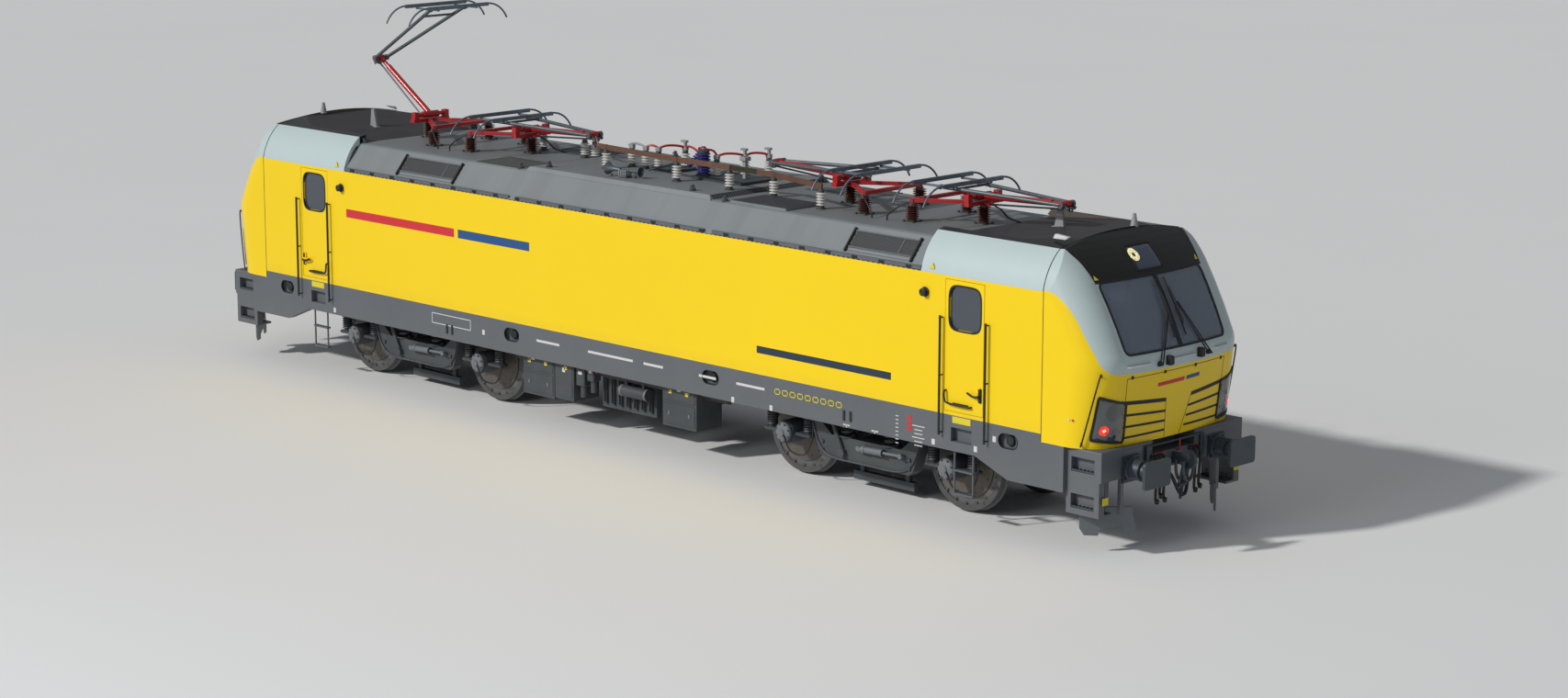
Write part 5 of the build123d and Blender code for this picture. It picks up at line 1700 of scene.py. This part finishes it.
for x in (0.06, 0.57):
    knobs.append(
        lathe(
            [(0.086, -0.01), (0.088, 0.0), (0.088, 0.012), (0.086, 0.022)], (x, -1.27, 0.76), (1, 0, 0), 24
        )
    )
papers = [
    onSide(x, z, w, h, 0.002, 1.383) for x, z, w,
    h in ((-1.78, 0.98, 0.07, 0.06), (-1.10, 0.90, 0.06, 0.07), (1.34, 0.98, 0.07, 0.06))
]
papers += [onSide(-0.77, 0.90, 0.08, 0.05, 0.002, 1.36), onSide(-0.55, 0.95, 0.06, 0.05, 0.002, 1.36)]
addPiece("boxLabels", bothEnds(joined(papers)), "labelWhite")
warns = [onSide(x, 0.93, 0.06, 0.055, 0.002, 1.383) for x in (-1.86, -1.50, -1.06, 1.16, 1.50)]
addPiece("boxMarks", bothEnds(joined(warns)), "labelYellow")
addPiece(
    "valveHandles",
    bothEnds(
        joined(
            [
                box((-0.665, -1.34, 0.93), (-0.635, -1.30, 0.985), 0.006),
                box((-0.455, -1.34, 0.93), (-0.425, -1.30, 0.985), 0.006)
            ]
        )
    ),
    "redPaint"
)
addPiece("boxLids", bothEnds(joined(lids)), "gearPaint")
addPiece("lidHandles", bothEnds(joined(knobs)), "lightGear")
addPiece("floorPipes", bothEnds(joined(pipes)), "springSteel")

# Seam over the cab roof, its gasket at the windscreen side and small blank marks
cove = dict(side=1.506, foot=3.317, top=(1.192, 3.813), crown=3.935)
c = np.linspace(0, 1, 12)
bulge = np.array(
    [
        cove["side"] - (cove["side"] - cove["top"][0]) * 0.36,
        cove["foot"] + (cove["top"][1] - cove["foot"]) * 0.56
    ]
)
a, b = np.array([cove["side"], cove["foot"]]), np.array(cove["top"])
handle = 2 * bulge - (a + b) / 2
arc = np.outer((1 - c) ** 2, a) + np.outer(2 * c * (1 - c), handle) + np.outer(c ** 2, b)
crown = np.c_[
    np.linspace(cove["top"][0], 0, 12)[1:],
    cove["top"][1] + (cove["crown"] - cove["top"][1]) * (1 - (np.linspace(1, 0, 12)[1:]) ** 2)
]
half = np.vstack([arc, crown])
seamLine = np.vstack(
    [
        np.c_[np.full(len(half), nose["seam"]), -half[:, 0], half[:, 1]],
        np.c_[np.full(len(half) - 1, nose["seam"]), half[-2::-1, 0], half[-2::-1, 1]]
    ]
)
addPiece("roofSeams", bothEnds(tube(seamLine, 0.0065, 6)), "blackRubber")
marks = prism([(6.18, -1.5065, 3.36), (6.27, -1.5065, 3.36), (6.225, -1.492, 3.44)], (0, -0.004, -0.001))
addPiece("roofMarks", fourWays(marks), "labelYellow")
print("details: cables, lids, seams")


# ---------- camera, floor and light

camera = bpy.data.objects.new("camera", bpy.data.cameras.new("camera"))
bpy.context.scene.collection.objects.link(camera)
camera.data.sensor_width = 36
camera.data.lens = 75.53
camera.data.clip_start = 1.0
camera.data.clip_end = 400
camera.matrix_world = (
    Matrix.Translation((34.2224, -32.5251, 10.8727)) @ Matrix.Rotation(math.radians(44.6834), 4, "Z")
    @ Matrix.Rotation(math.radians(90 - 11.6123), 4, "X") @ Matrix.Rotation(math.radians(0.1629), 4, "Z")
)
bpy.context.scene.camera = camera


turn = np.linspace(0, 2 * np.pi, 64, endpoint=False)
floorEdge = np.c_[160 * np.cos(turn), 160 * np.sin(turn), np.full(64, -0.001)]


floorKit = Nodes("floorGrey")
floorTone = floorKit.noise(0.15, 3)
floorLook = floorKit.finish(
    floorKit.mix(floorTone, (0.80, 0.805, 0.81), (0.83, 0.835, 0.84)), 0.9, 0.0, None, 0, 0.0, 0.1
)
floorMesh = bpy.data.meshes.new("floor")
floorMesh.from_pydata(floorEdge.tolist(), [], [list(range(64))])
floorMesh.materials.append(floorLook)
floor = bpy.data.objects.new("floor", floorMesh)
bpy.context.scene.collection.objects.link(floor)

world = bpy.data.worlds.new("studio")
world.use_nodes = True
world.node_tree.nodes["Background"].inputs["Color"].default_value = (0.86, 0.90, 0.96, 1)
world.node_tree.nodes["Background"].inputs["Strength"].default_value = 0.27
bpy.context.scene.world = world

lights = dict(
    key=dict(kind="SUN", at=(-9, -21, 17), power=2.45, size=0.06, colour=(1.0, 0.975, 0.94)),
    rim=dict(kind="AREA", at=(6, -26, 13), power=1000, size=9, colour=(0.95, 0.97, 1.0)),
)
for name, setting in lights.items():
    data = bpy.data.lights.new(name, setting["kind"])
    data.energy = setting["power"]
    data.color = setting["colour"]
    if setting["kind"] == "SUN":
        data.angle = setting["size"]
    else:
        data.size = setting["size"]
    light = bpy.data.objects.new(name, data)
    bpy.context.scene.collection.objects.link(light)
    aim = np.array([0, 0, 2.0]) - np.array(setting["at"], float)
    heading = math.atan2(aim[1], aim[0])
    pitch = math.atan2(aim[2], math.hypot(aim[0], aim[1]))
    light.matrix_world = (
        Matrix.Translation(setting["at"]) @ Matrix.Rotation(heading - math.pi / 2, 4, "Z")
        @ Matrix.Rotation(math.pi / 2 + pitch, 4, "X")
    )
bpy.context.scene.view_settings.view_transform = "Standard"
print("stage: camera, floor and light")
